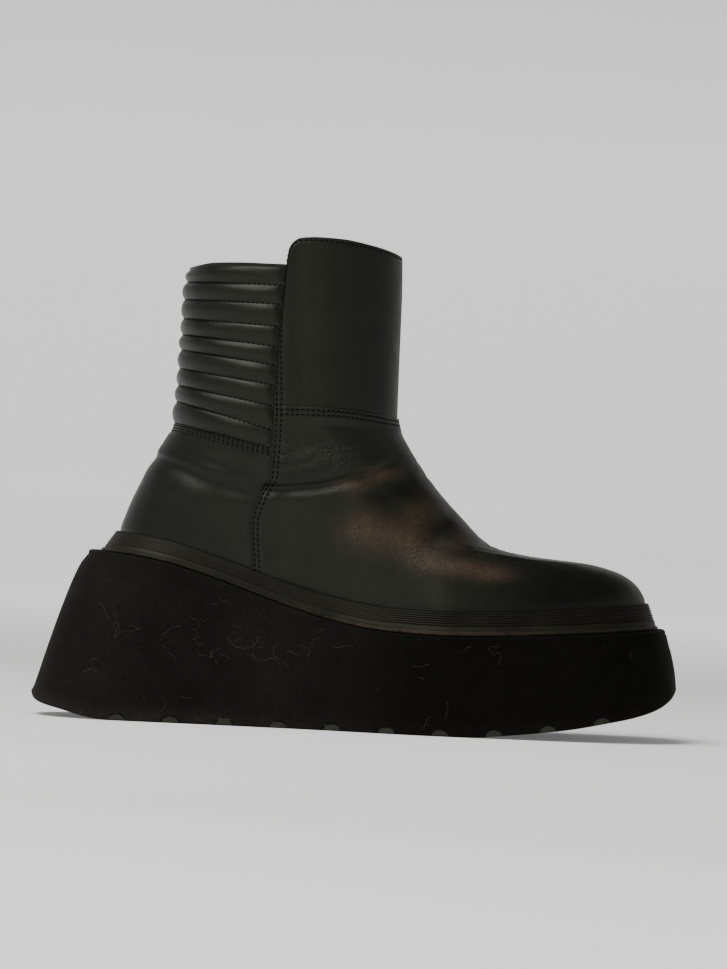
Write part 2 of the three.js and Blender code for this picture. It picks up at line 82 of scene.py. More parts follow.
PLATFORM_COLUMNS = ("share", "back", "front", "heel", "waist", "ball", "vamp", "toe")
PLATFORM = (
    (0.00, 0, 301.6, 47, 42.5, 56.5, 56.5, 56),
    (0.30, 5.6, 300.7, 45.8, 41.5, 55.8, 55.8, 55.3),
    (0.60, 12, 298.9, 44.4, 40.3, 54.8, 54.8, 54.4),
    (0.85, 18.5, 296.5, 43, 39.2, 53.8, 53.8, 53.4),
    (1.00, 24, 295.2, 42, 38.5, 53.2, 53.2, 52.8),
)
PLATFORM_ENDS = {"heel_round": 47, "toe_round": 50, "toe_power": 2.7, "swing": 1}

WELT = (
    (0, 30, 291.5, 37.6, 36, 51.3, 51.2, 50.6),
    (1, 36.4, 287, 33.6, 33, 47.8, 47.6, 46.6),
)
WELT_ENDS = {"heel_round": 38, "toe_round": 58, "toe_power": 2.4, "swing": 1}
WELT_TOP_LEVEL = 87

UPPER_COLUMNS = ("level", "back", "front", "front_z", "follow", "swing",
                 "heel", "waist", "ball", "vamp", "toe", "heel_round", "toe_round")
UPPER = (
    (77.6, 39, 283.5, 51.9, 1, 1, 31, 30.5, 46.5, 46.5, 46, 34, 62),
    (87, 38.3, 285.2, 64, 1, 1, 31.4, 31, 46, 45.6, 44, 34, 62),
    (95, 40.5, 282, 71.5, 0.92, 1, 31.4, 32, 43.8, 42.8, 41.4, 34, 62),
    (103, 43.5, 273, 79.2, 0.75, 1, 31.4, 32.5, 40, 35.4, 32.4, 34, 44),
    (110, 46.6, 257, 84.4, 0.55, 1, 31.2, 32.8, 36.6, 30, 23.6, 34, 22),
    (117, 49.7, 236, 86.8, 0.42, 0.95, 31, 33, 34.6, 31.8, 24, 34, 20),
    (124, 53.2, 214, 91.6, 0.38, 0.85, 31.2, 33.4, 34, 32.4, 29.4, 35, 18),
    (131, 57.2, 196, 106.4, 0.3, 0.6, 32.4, 34.6, 34.6, 30.4, 27, 37, 22),
    (138, 60.4, 177.5, 125.5, 0.15, 0.35, 34.4, 36.6, 36, 32.4, 28.6, 40, 30),
    (147, 60.9, 165.2, 145, 0, 0.15, 36.6, 38.6, 38.6, 37.8, 36.6, 43, 43),
    (177, 62.2, 164.9, 177, 0, 0, 37.4, 39.6, 39.6, 38.8, 37.6, 45, 45),
    (197, 62.5, 164.8, 200, 0, 0, 37.6, 40, 40, 39.2, 38, 46, 46),
    (211.6, 64.4, 164.1, 221, 0, 0, 37.4, 40, 40, 39.2, 37.8, 46, 46),
)
FEATHER = UPPER[0]
TOP_LEVEL = UPPER[-1][0]

COLLAR_BACK = ((60, 210.8), (64, 211.4), (77, 214.1), (95, 214.7), (110.4, 214.7))
COLLAR_FRONT = ((110.2, 212), (110.6, 219.5), (111.6, 223), (113.4, 225.5), (116.4, 227.3),
                (125, 228), (136, 227.6), (150, 225.4), (160, 222.8), (164.2, 221))
COLLAR_INSIDE = ((60, 210.8), (64, 211.4), (77, 214.1), (95, 214.8), (116, 215), (140, 216),
                 (156, 218.6), (164.2, 221))


class Curve:
    """Smooth curve through the rows of a short table. It never overshoots a row."""

    def __init__(self, places, values):
        self.places = np.asarray(places, float)
        self.values = np.stack([np.asarray(value, float) for value in values])
        steps = np.diff(self.places).reshape(-1, *[1] * (self.values.ndim - 1))
        rise = np.diff(self.values, axis=0) / steps
        before, after = rise[:-1], rise[1:]
        total = np.where(before + after == 0, 1, before + after)
        middle = np.where(before * after > 0, 2 * before * after / total, 0)
        self.slopes = np.concatenate([rise[:1], middle, rise[-1:]])

    def __call__(self, place):
        place = np.clip(place, self.places[0], self.places[-1])
        row = np.clip(np.searchsorted(self.places, place, side="right") - 1, 0, len(self.places) - 2)
        span = self.places[row + 1] - self.places[row]
        t = (place - self.places[row]) / span
        s = 1 - t

        def pick(rows, k):
            return rows[k] if rows.ndim == 1 else np.take_along_axis(rows, k[None], 0)[0]

        ends = pick(self.values, row) * (1 + 2 * t) * s * s
        ends = ends + pick(self.values, row + 1) * (1 + 2 * s) * t * t
        return ends + span * s * t * (pick(self.slopes, row) * s - pick(self.slopes, row + 1) * t)


def table_reader(rows, columns):
    """The columns of a table at any place along its first one."""
    curves = {
        name: Curve([row[0] for row in rows], [row[i] for row in rows])
        for i, name in enumerate(columns) if i
    }
    return lambda place: {name: curve(place) for name, curve in curves.items()}


bed = Curve(*zip(*BED))
underside = Curve(*zip(*UNDERSIDE))
swing = Curve(*zip(*SWING))
side_seam = Curve(*zip(*SEAM))
zip_line = Curve(*zip(*ZIP))
collar_back = Curve(*zip(*COLLAR_BACK))
collar_front = Curve(*zip(*COLLAR_FRONT))
collar_inside = Curve(*zip(*COLLAR_INSIDE))
upper_row = table_reader(UPPER, UPPER_COLUMNS)
platform_row = table_reader(PLATFORM, PLATFORM_COLUMNS)
welt_row = table_reader(WELT, PLATFORM_COLUMNS)


def wall_row(share):
    """The platform's outline at a share of its height."""
    return {**platform_row(share), **PLATFORM_ENDS}


def lerp(a, b, share):
    return a + (b - a) * share


def smooth(value, low, high):
    """0 below low, 1 above high, and an even slope between."""
    t = np.clip((value - low) / (high - low), 0, 1)
    return t * t * (3 - 2 * t)


def hump(value, width):
    """1 at zero, falling softly to nothing on both sides."""
    return np.exp(-(value / width) ** 2)


def rounding(distance, reach, power):
    t = np.clip(distance / reach, 0, 1)
    return (1 - (1 - t) ** power) ** (1 / power)


def half_width(row, x, side):
    """Half width of a ring at x, on the outside (side -1) or the inside (side 1) of the foot."""
    share = (x - row["back"]) / (row["front"] - row["back"])
    reach = row["toe_round"] * np.where(side < 0, 1 + OUTSIDE_REACH * row["swing"], 1)
    widths = Curve(STATION_SHARES, [np.broadcast_to(row[name], x.shape) for name in STATION_NAMES])
    heel = rounding(x - row["back"], row["heel_round"], HEEL_POWER)
    toe = rounding(row["front"] - x, reach, row.get("toe_power", TOE_POWER))
    return widths(share) * heel * toe


def along(row, split, way):
    """X at a share of the way from the back point (0) to the front point (1) of a ring."""
    rear = lerp(row["back"], split, 1 - np.cos(np.pi / 2 * np.minimum(way / SPLIT, 1)))
    fore = lerp(split, row["front"], np.sin(np.pi / 2 * np.maximum(way - SPLIT, 0) / (1 - SPLIT)))
    return np.where(way < SPLIT, rear, fore)


def unwrap(turn):
    """Side and way of a turn: 0 is the back, SPLIT the outside seam, 1 the front, 2 - SPLIT the zip."""
    turn = np.where(turn > 1, turn - 2, turn)
    return np.where(turn > 0, -1.0, 1.0), np.abs(turn)


def chord(x):
    """Straight line from the back end of the bed to its front end, under the upper."""
    return lerp(bed(FEATHER[1]), bed(FEATHER[2]), (x - FEATHER[1]) / (FEATHER[2] - FEATHER[1]))


def height_at(row, level, x):
    """Height of a ring of the upper at x: it follows the bed less the higher it lies."""
    share = (x - row["back"]) / (row["front"] - row["back"])
    straight = lerp(np.minimum(level, TOP_LEVEL), row["front_z"], share)
    return straight + row["follow"] * (bed(x) - chord(x)) + np.maximum(level - TOP_LEVEL, 0)


SEAM_PLACE = 104                # x of seam and zip, near enough to find their height


def split_at(row, level, side):
    """X of the side seam (outside) or the zip (inside) at a level."""
    height = height_at(row, level, SEAM_PLACE)
    return np.where(side < 0, side_seam(height), zip_line(height))


def skin(level, turn):
    """Point on the outside of the upper. Level is its height at the back of the boot."""
    level, turn = np.broadcast_arrays(np.asarray(level, float), np.asarray(turn, float))
    side, way = unwrap(turn)
    row = upper_row(level)
    x = along(row, split_at(row, level, side), way)
    y = swing(x) * row["swing"] + side * half_width(row, x, side)
    return np.stack([x, y, height_at(row, level, x)], -1)


def level_where(height, turn_of, columns):
    """Level at which each column of a panel reaches the line height(x, side)."""
    low = np.full(columns, 76.0)
    high = np.full(columns, 250.0)
    for _ in range(26):
        middle = (low + high) / 2
        turn = turn_of(middle)
        point = skin(middle, turn)
        above = point[..., 2] > height(point[..., 0], unwrap(turn)[0])
        high = np.where(above, middle, high)
        low = np.where(above, low, middle)
    return (low + high) / 2


def turn_beside(side, offset):
    """Turn, as a function of level, of the line that runs offset(level) in front of seam or zip."""

    def turn(level):
        row = upper_row(level)
        split = split_at(row, level, side)
        d = offset(level)
        ahead = np.arcsin(np.clip(d / (row["front"] - split), 0, 1)) * 2 / np.pi * (1 - SPLIT)
        behind = np.arccos(np.clip(-d / (split - row["back"]), 0, 1)) * 2 / np.pi * SPLIT
        way = np.where(d >= 0, SPLIT + ahead, behind)
        return way if side < 0 else -way

    return turn


# ---------------------------------------------------------------- folds of the leather, its brown patches and painted shade
# fold lines, as x and z along them: side (0 is both), line, depth, width, height of the lips
FOLDS = (
    # under the quilted panel, and on across the vamp: the ankle breaks here at each step
    (0, ((48, 124), (58, 121), (67, 118), (77, 114), (90, 112), (112, 110.8)), 1.15, 2.5, 0.1),
    (0, ((76, 124), (84, 121.5), (94, 118.6), (106, 116)), 0.9, 1.8, 0.1),
    (0, ((102, 110.4), (121.7, 111.9), (131.5, 113.4), (143.2, 116.7), (156.2, 120.8), (168, 128)),
     1.5, 1.8, 0.35),
    # fine folds in front of the side seam, above the ankle
    (-1, ((108, 116.5), (120, 117.5), (143, 124.5)), 0.3, 1.1, 0.2),
    (-1, ((107.5, 121.5), (117, 122.2), (136, 129)), 0.26, 1.0, 0.18),
    (-1, ((107.5, 127), (114, 127.2), (127, 132.5)), 0.2, 0.9, 0.15),
    (1, ((110, 119), (124, 121.5), (146, 129)), 0.34, 1.3, 0.25),
    (1, ((110, 126), (120, 126.8), (136, 133)), 0.26, 1.1, 0.2),
    # short folds over the counter
    (-1, ((84, 111.6), (95, 108.6), (105, 106.6)), 0.28, 1.6, 0.2),
    (1, ((84, 112), (94, 109.6), (104, 108)), 0.3, 1.6, 0.2),
)
# soft hollows and swells of the vamp: side, x, z, reach along x, reach along z, lean, height
SWELLS = (
    (-1, 165, 113.5, 10, 7, 0.3, -1.1),
    (-1, 158, 96, 17, 9, 0.2, 0.8),
    (-1, 189, 98, 5.5, 11, 0.55, -0.9),
    (-1, 197, 90, 6, 8, 0.5, 0.45),
    (-1, 200, 78, 24, 5, 0.0, 0.55),
    (-1, 150, 141, 18, 7, 0.0, -0.5),
    (-1, 127, 123.5, 17, 6, 0.3, 1.3),
    (1, 168, 112, 10, 7, 0.3, -0.9),
    (1, 162, 97, 16, 9, 0.2, 0.7),
    (1, 190, 98, 6, 11, 0.55, -0.8),
    (1, 198, 89, 7, 8, 0.5, 0.4),
)
# creases across the top of the vamp, where the toes bend: x in the middle, bow, half span, depth
CROSS_CREASES = (
    (206.5, 5.0, 15, 0.35), (212, 6.0, 24, 0.5), (217, 7.5, 22, 0.34), (222, 9.0, 27, 0.3),
    (229, 11.0, 20, 0.2), (176, 3.5, 15, 0.35), (181, 4.0, 12, 0.28),
)
# brown patches, partly where the dye has rubbed through and partly a painted brown sheen: side, x, z, reach
# along x, reach along z, lean, strength
BROWN_WEAR_AND_SHEEN_PATCHES = (
    (-1, 151, 94, 9, 8, 0.0, 0.9),
    (-1, 169, 91, 12, 8, 0.2, 0.9),
    (-1, 179, 104, 9, 6, 0.3, 0.5),
    (-1, 146, 113.5, 9, 3.2, 0.5, 0.8),
    (-1, 159, 119.5, 8, 3.6, 0.8, 0.8),
    (-1, 197, 90, 6, 6, 0.3, 0.45),
    (-1, 181, 83, 9, 6, 0.0, 0.5),
    (-1, 194, 78, 14, 3.8, 0.0, 1.0),
    (-1, 212, 75.5, 11, 3.6, 0.0, 0.8),
)
# patches of painted shade, in hollows of the vamp and under the quilted panel: side, x, z, reach along x,
# reach along z, lean, strength
PAINTED_SHADE_PATCHES = (
    (-1, 165, 113, 10, 6, 0.3, 0.75),
    (-1, 189, 99, 6, 9, 0.5, 0.7),
    (-1, 206, 93, 6, 7, 0.4, 0.8),
    (-1, 190, 116, 9, 12, -0.8, 0.6),
    (-1, 72, 122, 16, 4, -1.2, 0.7),
    (-1, 94, 117.5, 12, 3, -0.6, 0.6),
    (-1, 98, 126, 12, 4, -0.6, 0.3),
)


def patches(rows, point, side):
    """Sum of soft oval patches; a side of 0 stands for both."""
    x, y, z = point[..., 0], point[..., 1], point[..., 2]
    off_middle = smooth(np.abs(y - swing(x)), 3, 16)
    total = np.zeros_like(x)
    for patch_side, x0, z0, reach, up, lean, amount in rows:
        across = (x - x0 - lean * (z - z0)) / reach
        patch = amount * np.exp(-across ** 2 - ((z - z0) / up) ** 2)
        total = total + patch * (1 if patch_side == 0 else (side == patch_side) * off_middle)
    return total


def folds_at(point, side):
    """For each fold: distance above its line, how much of it there is, depth, width and lips."""
    x, y, z = point[..., 0], point[..., 1], point[..., 2]
    off_middle = smooth(np.abs(y - swing(x)), 3, 16)
    for fold_side, line, depth, width, lip in FOLDS:
        first, last = line[0][0], line[-1][0]
        share = smooth(x, first - 3, first + 6) * (1 - smooth(x, last - 12, last + 1))
        share = share * (1 if fold_side == 0 else (side == fold_side) * off_middle)
        yield z - Curve(*zip(*line))(x), share, depth, width, lip


def relief(point, side):
    """How far the folds lift or sink the leather, in millimetres."""
    x, y, z = point[..., 0], point[..., 1], point[..., 2]
    total = patches(SWELLS, point, side)
    for away, share, depth, width, lip in folds_at(point, side):
        lips = hump(away - 2.1 * width, 1.4 * width) + 0.8 * hump(away + 3.4 * width, 1.6 * width)
        trough = hump(away, np.where(away > 0, 0.85, 2.1) * width)
        total = total + share * (lip * lips - depth * trough)
    for x0, bow, span, depth in CROSS_CREASES:
        off = (y - swing(x)) / span
        line = x0 - bow * off ** 2 + 0.8 * np.sin(y * 0.7 + x0)
        ridge = 0.5 * depth * hump(x - line - 2, 1.4) - depth * hump(x - line, 0.9)
        total = total + ridge * np.exp(-off ** 4) * smooth(z, 70, 84) * (1 - smooth(z, 124, 136))
    return total


def crumple(point, side):
    """Where the leather is finely wrinkled: above the ankle fold, and where the toes bend."""
    x, z = point[..., 0], point[..., 2]
    ankle = hump(z - 126, 11) * (1 - smooth(x, 140, 165)) * smooth(x, 98, 112)
    counter = 0.12 * hump(z - 120, 6) * smooth(x, 54, 66) * (1 - smooth(x, 96, 108))
    toes = 0.8 * hump(x - 214, 15) * smooth(z, 74, 84) * (1 - smooth(z, 100, 112))
    instep = 0.5 * hump(x - 178, 9) * hump(z - 82, 7)
    return np.clip(ankle + counter + toes + instep, 0, 1)


def brown_wear_and_sheen_at(point, side):
    """Where the leather shows brown: dye rubbed through, and a painted brown sheen."""
    return np.clip(patches(BROWN_WEAR_AND_SHEEN_PATCHES, point, side), 0, 1)


def tone_and_shade_at(point, side):
    """How light the leather is: darker at the toe and towards the back, with painted shade on the front of
    the shaft above the ankle, on a band at the back of the ribs, in the fold troughs and in the shade
    patches.
    """
    x, z = point[..., 0], point[..., 2]
    toe = 1 - smooth(x, 200, 240)
    # painted shade: the front of the shaft above the ankle is darker
    shin_shade = 1 - 0.85 * smooth(x, 134, 160) * smooth(z, 138, 150)
    counter = 0.45 + 0.55 * smooth(x, 60, 108)
    # painted shade: a band at the back of the ribs is darker
    ribs = 1 - 0.3 * hump(x - 70, 9) * smooth(z, 136, 142)
    # painted shade in the troughs of the folds
    fold_shade = sum(
        0.85 * depth * share * hump(away, 0.9 * width)
        for away, share, depth, width, _ in folds_at(point, side)
    )
    # painted shade: the shade patches and the fold troughs together darken the leather
    black = patches(PAINTED_SHADE_PATCHES, point, side) + fold_shade
    return toe * shin_shade * counter * ribs * (1 - np.clip(black, 0, 0.9))


# ---------------------------------------------------------------- meshes

def shoe_origin():
    """Where the rearmost point of the platform and the floor lie in the frame."""
    low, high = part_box("outsole")
    way = np.concatenate([np.linspace(0, 1, 400)] * 2)
    side = np.repeat([-1.0, 1.0], 400)
    row = wall_row(0.0)
    x = along(row, RING_SPLIT, way)
    y = swing(x) + side * half_width(row, x, side)
    return np.array([low.x / MM, (low.y + high.y) / 2 / MM - (y.min() + y.max()) / 2, 0])


SHIFT = shoe_origin()


def place(points):
    """Millimetres of the shoe to metres of the frame."""
    return (np.asarray(points, float).reshape(-1, 3) + SHIFT) * MM


def into_scene(name, data):
    made = bpy.data.objects.new(name, data)
    bpy.context.scene.collection.objects.link(made)
    return made


def plain_mesh(source):
    """The finished mesh of an object with its modifiers worked in."""
    bpy.context.view_layer.update()
    return bpy.data.meshes.new_from_object(source.evaluated_get(bpy.context.evaluated_depsgraph_get()))


def mesh_piece(name, points, faces, material, attributes=None):
    """A finished piece: its mesh in place, smooth, with its material and point attributes."""
    mesh = bpy.data.meshes.new(name)
    mesh.from_pydata(place(points).tolist(), [], faces)
    mesh.validate()
    for label, values in (attributes or {}).items():
        layer = mesh.attributes.new(label, "FLOAT", "POINT")
        layer.data.foreach_set("value", np.asarray(values, np.float32).ravel())
    mesh.materials.append(material)
    mesh.shade_smooth()
    return into_scene(name, mesh)


def grid_faces(rows, columns, offset=0, flip=False, wrap=False):
    i = np.arange(rows - 1)[:, None]
    j = np.arange(columns if wrap else columns - 1)[None, :]
    k = (j + 1) % columns
    quads = [i * columns + j, i * columns + k, (i + 1) * columns + k, (i + 1) * columns + j]
    faces = np.stack(np.broadcast_arrays(*quads), -1).reshape(-1, 4) + offset
    return faces[:, ::-1] if flip else faces


def shell_faces(rows, columns):
    """Faces of a thin closed sheet: outer grid, inner grid, and the four edges between them."""
    count = rows * columns
    index = np.arange(count).reshape(rows, columns)
    border = np.concatenate([index[0, :], index[1:, -1], index[-1, -2::-1], index[-2:0:-1, 0]])
    following = np.roll(border, -1)
    rim = np.stack([following, border, border + count, following + count], -1)
    outer = grid_faces(rows, columns)
    inner = grid_faces(rows, columns, offset=count, flip=True)
    return np.concatenate([outer, inner, rim]).tolist()


def tube_faces(rows, columns):
    """Faces of a form closed both ways: a ring of rings."""
    faces = grid_faces(rows, columns, wrap=True)
    last = (rows - 1) * columns
    j = np.arange(columns)
    k = (j + 1) % columns
    seam = np.stack([last + j, last + k, k, j], -1)
    return np.concatenate([faces, seam])


def run_length(points, axis):
    """Length along a grid from its first row or column."""
    steps = np.linalg.norm(np.diff(points, axis=axis), axis=-1)
    start = np.zeros_like(np.take(steps, [0], axis))
    return np.concatenate([start, np.cumsum(steps, axis)], axis)


def normals_of(points):
    """Outward normals of a grid that runs up the boot and round it."""
    down = np.gradient(points, axis=0)
    across = np.gradient(points, axis=1)
    normal = np.cross(across, down)
    return normal / np.maximum(np.linalg.norm(normal, axis=-1, keepdims=True), 1e-9)


# distances from an edge at which a panel has grid lines, in millimetres
STITCHED_EDGE = (0, 0.1, 0.3, 0.6, 1.0, 1.5, 2.0, 2.5, 3.1, 3.7, 4.3, 4.9, 5.6, 6.5)
PLAIN_EDGE = (0, 0.12, 0.4, 0.9)
FIRST_ROW = 1.5                 # stitch rows, from the edge of the panel
SECOND_ROW = 3.7
STITCH_PULL = 0.42
STITCH_PULL_WIDTH = 0.6
FINE = 260


def spaced(total, first, last, step):
    """Distances 0..total: the given ones at both ends, and even steps between."""
    total = np.asarray(total, float)
    count = max(2, int(round((np.median(total) - first[-1] - last[-1]) / step)))
    inner = np.linspace(0, 1, count + 1)[1:-1]
    head = np.broadcast_to(np.array(first), (*total.shape, len(first)))
    tail = total[..., None] - np.array(last[::-1])
    body = lerp(head[..., -1:], tail[..., :1], inner)
    return np.concatenate([head, body, tail], -1)


def nearest(values, value):
    return int(np.argmin(np.abs(values - value)))


class Panel:
    """A sewn panel laid on the skin. Its grid runs up the boot (rows) and round it (columns)."""

    def __init__(self, start, end, rows_of, step, start_edge, end_edge):
        share = np.linspace(0, 1, FINE)

        def turn_of(level):
            return lerp(start(level), end(level), share)

        level = rows_of(turn_of)
        run = run_length(skin(level, turn_of(level)), 1)
        distance = spaced(run[:, -1], start_edge, end_edge, step)
        rows = range(len(level))
        share_at = np.stack([np.interp(distance[i], run[i], share) for i in rows])
        self.level = np.stack([np.interp(distance[i], run[i], level[i]) for i in rows])
        self.turn = lerp(start(self.level), end(self.level), share_at)
        self.side = unwrap(self.turn)[0]
        self.skin = skin(self.level, self.turn)
        self.normal = normals_of(self.skin)
        self.from_start = distance
        self.to_end = distance[:, -1:] - distance
        up = run_length(self.skin, 0)
        self.from_low = up
        self.to_high = up[-1:] - up
        self.height = np.zeros(self.level.shape)

    def surface(self, depth=0.0):
        return self.skin + self.normal * (self.height - depth)[..., None]

    def piece(self, name, thickness, material):
        """The closed sheet: its outer face at its height, and its inner face under it."""
        both = {}
        for label, mask in (("brown_wear_and_sheen", brown_wear_and_sheen_at), ("crumple", crumple), ("tone_and_shade", tone_and_shade_at)):
            both[label] = np.concatenate([mask(self.skin, self.side).ravel()] * 2)
        points = np.concatenate([self.surface().reshape(-1, 3), self.surface(thickness).reshape(-1, 3)])
        return mesh_piece(name, points, shell_faces(*self.level.shape), material, both)

    def column_at(self, distance, from_end=False):
        where = self.to_end if from_end else self.from_start
        return nearest(np.median(where, axis=0), distance)

    def row_at(self, distance):
        """The row that runs this far under the upper edge."""
        return nearest(np.median(self.to_high, axis=1), distance)

    def pull_down(self, *lines):
        """The thread pulls the leather down along each line: distances from an edge, and the row."""
        for distance, row in lines:
            self.height -= STITCH_PULL * hump(distance - row, STITCH_PULL_WIDTH)

    def roll_down(self, distance, share=0.6, radius=0.8):
        """Round off the free edge from which the distance is measured."""
        t = np.clip(1 - distance / radius, 0, 1)
        self.height -= share * UPPER_THICKNESS * (1 - np.sqrt(1 - t * t))

    def sew(self, rows, columns, lift=0.12, way=1):
        """A row of stitches on part of the grid, so far over the leather, and the way out of it."""
        stitch_rows.append((self.surface(-lift)[rows, columns], way * self.normal[rows, columns]))


def rows_between(low_of, high_of, step, low_edge, high_edge):
    """Rows at even distances up each column, with closer ones near the two edges."""

    def rows(turn_of):
        samples = lerp(low_of(turn_of), high_of(turn_of), np.linspace(0, 1, 150)[:, None])
        run = run_length(skin(samples, turn_of(samples)), 0)
        distance = spaced(run[-1], low_edge, high_edge, step).T
        columns = range(FINE)
        return np.stack([np.interp(distance[:, k], run[:, k], samples[:, k]) for k in columns], -1)

    return rows


def at_level(level):
    return lambda turn_of: np.full(FINE, float(level))


def at_height(height):
    return lambda turn_of: level_where(height, turn_of, FINE)


# ---------------------------------------------------------------- threads and teeth
STITCH = {"Pitch": 2.4, "Length": 1.65, "Width": 0.82, "Height": 0.5}
TOOTH = {"Pitch": 1.25, "Length": 0.8, "Width": 2.3, "Height": 1.0}
stitch_rows = []


def stamp_tree():
    """Node tree: even steps along each line, a small rounded body at each, turned with the line."""
    tree = bpy.data.node_groups.new("stamp along lines", "GeometryNodeTree")
    sockets = {}
    for label, kind, way in (
        ("Lines", "Geometry", "INPUT"), ("Pitch", "Float", "INPUT"), ("Length", "Float", "INPUT"),
        ("Width", "Float", "INPUT"), ("Height", "Float", "INPUT"), ("Material", "Material", "INPUT"),
        ("Bodies", "Geometry", "OUTPUT"),
    ):
        socket = tree.interface.new_socket(name=label, in_out=way, socket_type="NodeSocket" + kind)
        sockets[label] = socket.identifier
    nodes = {
        name: tree.nodes.new(kind) for name, kind in (
            ("given", "NodeGroupInput"), ("made", "NodeGroupOutput"),
            ("curves", "GeometryNodeMeshToCurve"), ("steps", "GeometryNodeResampleCurve"),
            ("body", "GeometryNodeMeshUVSphere"), ("tangent", "GeometryNodeInputTangent"),
            ("outwards", "GeometryNodeInputNamedAttribute"), ("turn", "FunctionNodeAlignRotationToVector"),
            ("roll", "FunctionNodeAlignRotationToVector"), ("size", "ShaderNodeCombineXYZ"),
            ("stamp", "GeometryNodeInstanceOnPoints"), ("real", "GeometryNodeRealizeInstances"),
            ("soft", "GeometryNodeSetShadeSmooth"), ("paint", "GeometryNodeSetMaterial"),
        )
    }
    nodes["steps"].mode = "LENGTH"
    for label, value in (("Segments", 6), ("Rings", 5), ("Radius", 0.5)):
        nodes["body"].inputs[label].default_value = value
    nodes["outwards"].data_type = "FLOAT_VECTOR"
    nodes["outwards"].inputs["Name"].default_value = "outwards"
    nodes["turn"].axis = "X"
    nodes["roll"].axis = "Z"
    nodes["roll"].pivot_axis = "X"
    for source, output, target, socket in (
        ("given", "Lines", "curves", 0), ("curves", 0, "steps", "Curve"),
        ("given", "Pitch", "steps", "Length"), ("steps", 0, "stamp", "Points"),
        ("body", "Mesh", "stamp", "Instance"), ("tangent", 0, "turn", "Vector"),
        ("turn", 0, "roll", "Rotation"), ("outwards", "Attribute", "roll", "Vector"),
        ("roll", 0, "stamp", "Rotation"), ("given", "Length", "size", "X"),
        ("given", "Width", "size", "Y"), ("given", "Height", "size", "Z"),
        ("size", 0, "stamp", "Scale"), ("stamp", 0, "real", 0), ("real", 0, "soft", 0),
        ("soft", 0, "paint", "Geometry"), ("given", "Material", "paint", "Material"),
        ("paint", 0, "made", 0),
    ):
        tree.links.new(nodes[source].outputs[output], nodes[target].inputs[socket])
    return tree, sockets


def stamp_along(name, rows, stamp, material):
    """One mesh of small bodies along the given rows of points."""
    tree, sockets = stamp_tree()
    points = np.concatenate([p for p, _ in rows])
    ways = np.concatenate([n for _, n in rows])
    edges = []
    first = 0
    for p, _ in rows:
        edges += [(k, k + 1) for k in range(first, first + len(p) - 1)]
        first += len(p)
    mesh = bpy.data.meshes.new(name + "_lines")
    mesh.from_pydata(place(points).tolist(), edges, [])
    layer = mesh.attributes.new("outwards", "FLOAT_VECTOR", "POINT")
    layer.data.foreach_set("vector", ways.astype(np.float32).ravel())
    lines = into_scene(name + "_lines", mesh)
    modifier = lines.modifiers.new("stamp", "NODES")
    modifier.node_group = tree
    for label, value in stamp.items():
        modifier[sockets[label]] = value * MM
    modifier[sockets["Material"]] = material
    made = plain_mesh(lines)
    made.name = name
    bpy.data.objects.remove(lines)
    return into_scene(name, made)


# ---------------------------------------------------------------- finishes
class Finish:
    """A material with one shader, and short names for the nodes that feed it."""

    def __init__(self, name, **values):
        self.material = bpy.data.materials.new(name)
        self.material.use_nodes = True
        self.tree = self.material.node_tree
        self.shader = self.tree.nodes["Principled BSDF"]
        for label, value in values.items():
            self.shader.inputs[label.replace("_", " ")].default_value = value
        self.place = self.add("ShaderNodeTexCoord").outputs["Object"]

    def add(self, kind, inputs=None, **settings):
        node = self.tree.nodes.new(kind)
        for label, value in settings.items():
            setattr(node, label, value)
        for label, value in (inputs or {}).items():
            self.feed(node.inputs[label], value)
        return node

    def feed(self, socket, value):
        if isinstance(value, bpy.types.NodeSocket):
            self.tree.links.new(value, socket)
        else:
            socket.default_value = value

    def noise(self, size, detail=3.0, roughness=0.55, distortion=0.0, stretch=None):
        """Soft noise whose patches are about so many millimetres wide."""
        where = self.place
        if stretch is not None:
            where = self.add("ShaderNodeMapping", {"Vector": where, "Scale": stretch}).outputs[0]
        inputs = {"Vector": where, "Scale": 1000 / size, "Detail": detail, "Roughness": roughness,
                  "Distortion": distortion}
        return self.add("ShaderNodeTexNoise", inputs).outputs[0]

    def clouds(self, size, detail, roughness, *band):
        """Noise stretched over a band."""
        return self.band(self.noise(size, detail, roughness), *band)

    def cells(self, size, feature="F1"):
        inputs = {"Vector": self.place, "Scale": 1000 / size}
        return self.add("ShaderNodeTexVoronoi", inputs, feature=feature).outputs["Distance"]

    def mask(self, label):
        return self.add("ShaderNodeAttribute", attribute_name=label).outputs["Fac"]

    def band(self, value, low, high, to_low=0.0, to_high=1.0):
        inputs = {"Value": value, "From Min": low, "From Max": high, "To Min": to_low, "To Max": to_high}
        return self.add("ShaderNodeMapRange", inputs, clamp=True).outputs[0]

    def math(self, operation, a, b):
        return self.add("ShaderNodeMath", {0: a, 1: b}, operation=operation).outputs[0]

    def times(self, a, b):
        return self.math("MULTIPLY", a, b)

    def blend(self, share, first, second):
        node = self.add("ShaderNodeMix", data_type="RGBA")
        self.feed(node.inputs[0], share)
        self.feed(node.inputs[6], first)
        self.feed(node.inputs[7], second)
        return node.outputs[2]

    def bump(self, height, depth, strength=1.0, over=None):
        inputs = {"Height": height, "Distance": depth * MM, "Strength": strength}
        if over is not None:
            inputs["Normal"] = over
        return self.add("ShaderNodeBump", inputs).outputs[0]

    def set(self, label, value):
        self.feed(self.shader.inputs[label], value)

    def done(self, colour, roughness=None, normal=None):
        """Feed the shader, and hand over the material."""
        for label, value in (("Base Color", colour), ("Roughness", roughness), ("Normal", normal)):
            if value is not None:
                self.set(label, value)
        return self.material


def rgb(red, green, blue):
    """A colour as a paint chart gives it, 0 to 255, in the linear values that the shader takes."""

    def linear(value):
        share = value / 255
        return share / 12.92 if share <= 0.04045 else ((share + 0.055) / 1.055) ** 2.4

    return (linear(red), linear(green), linear(blue), 1.0)


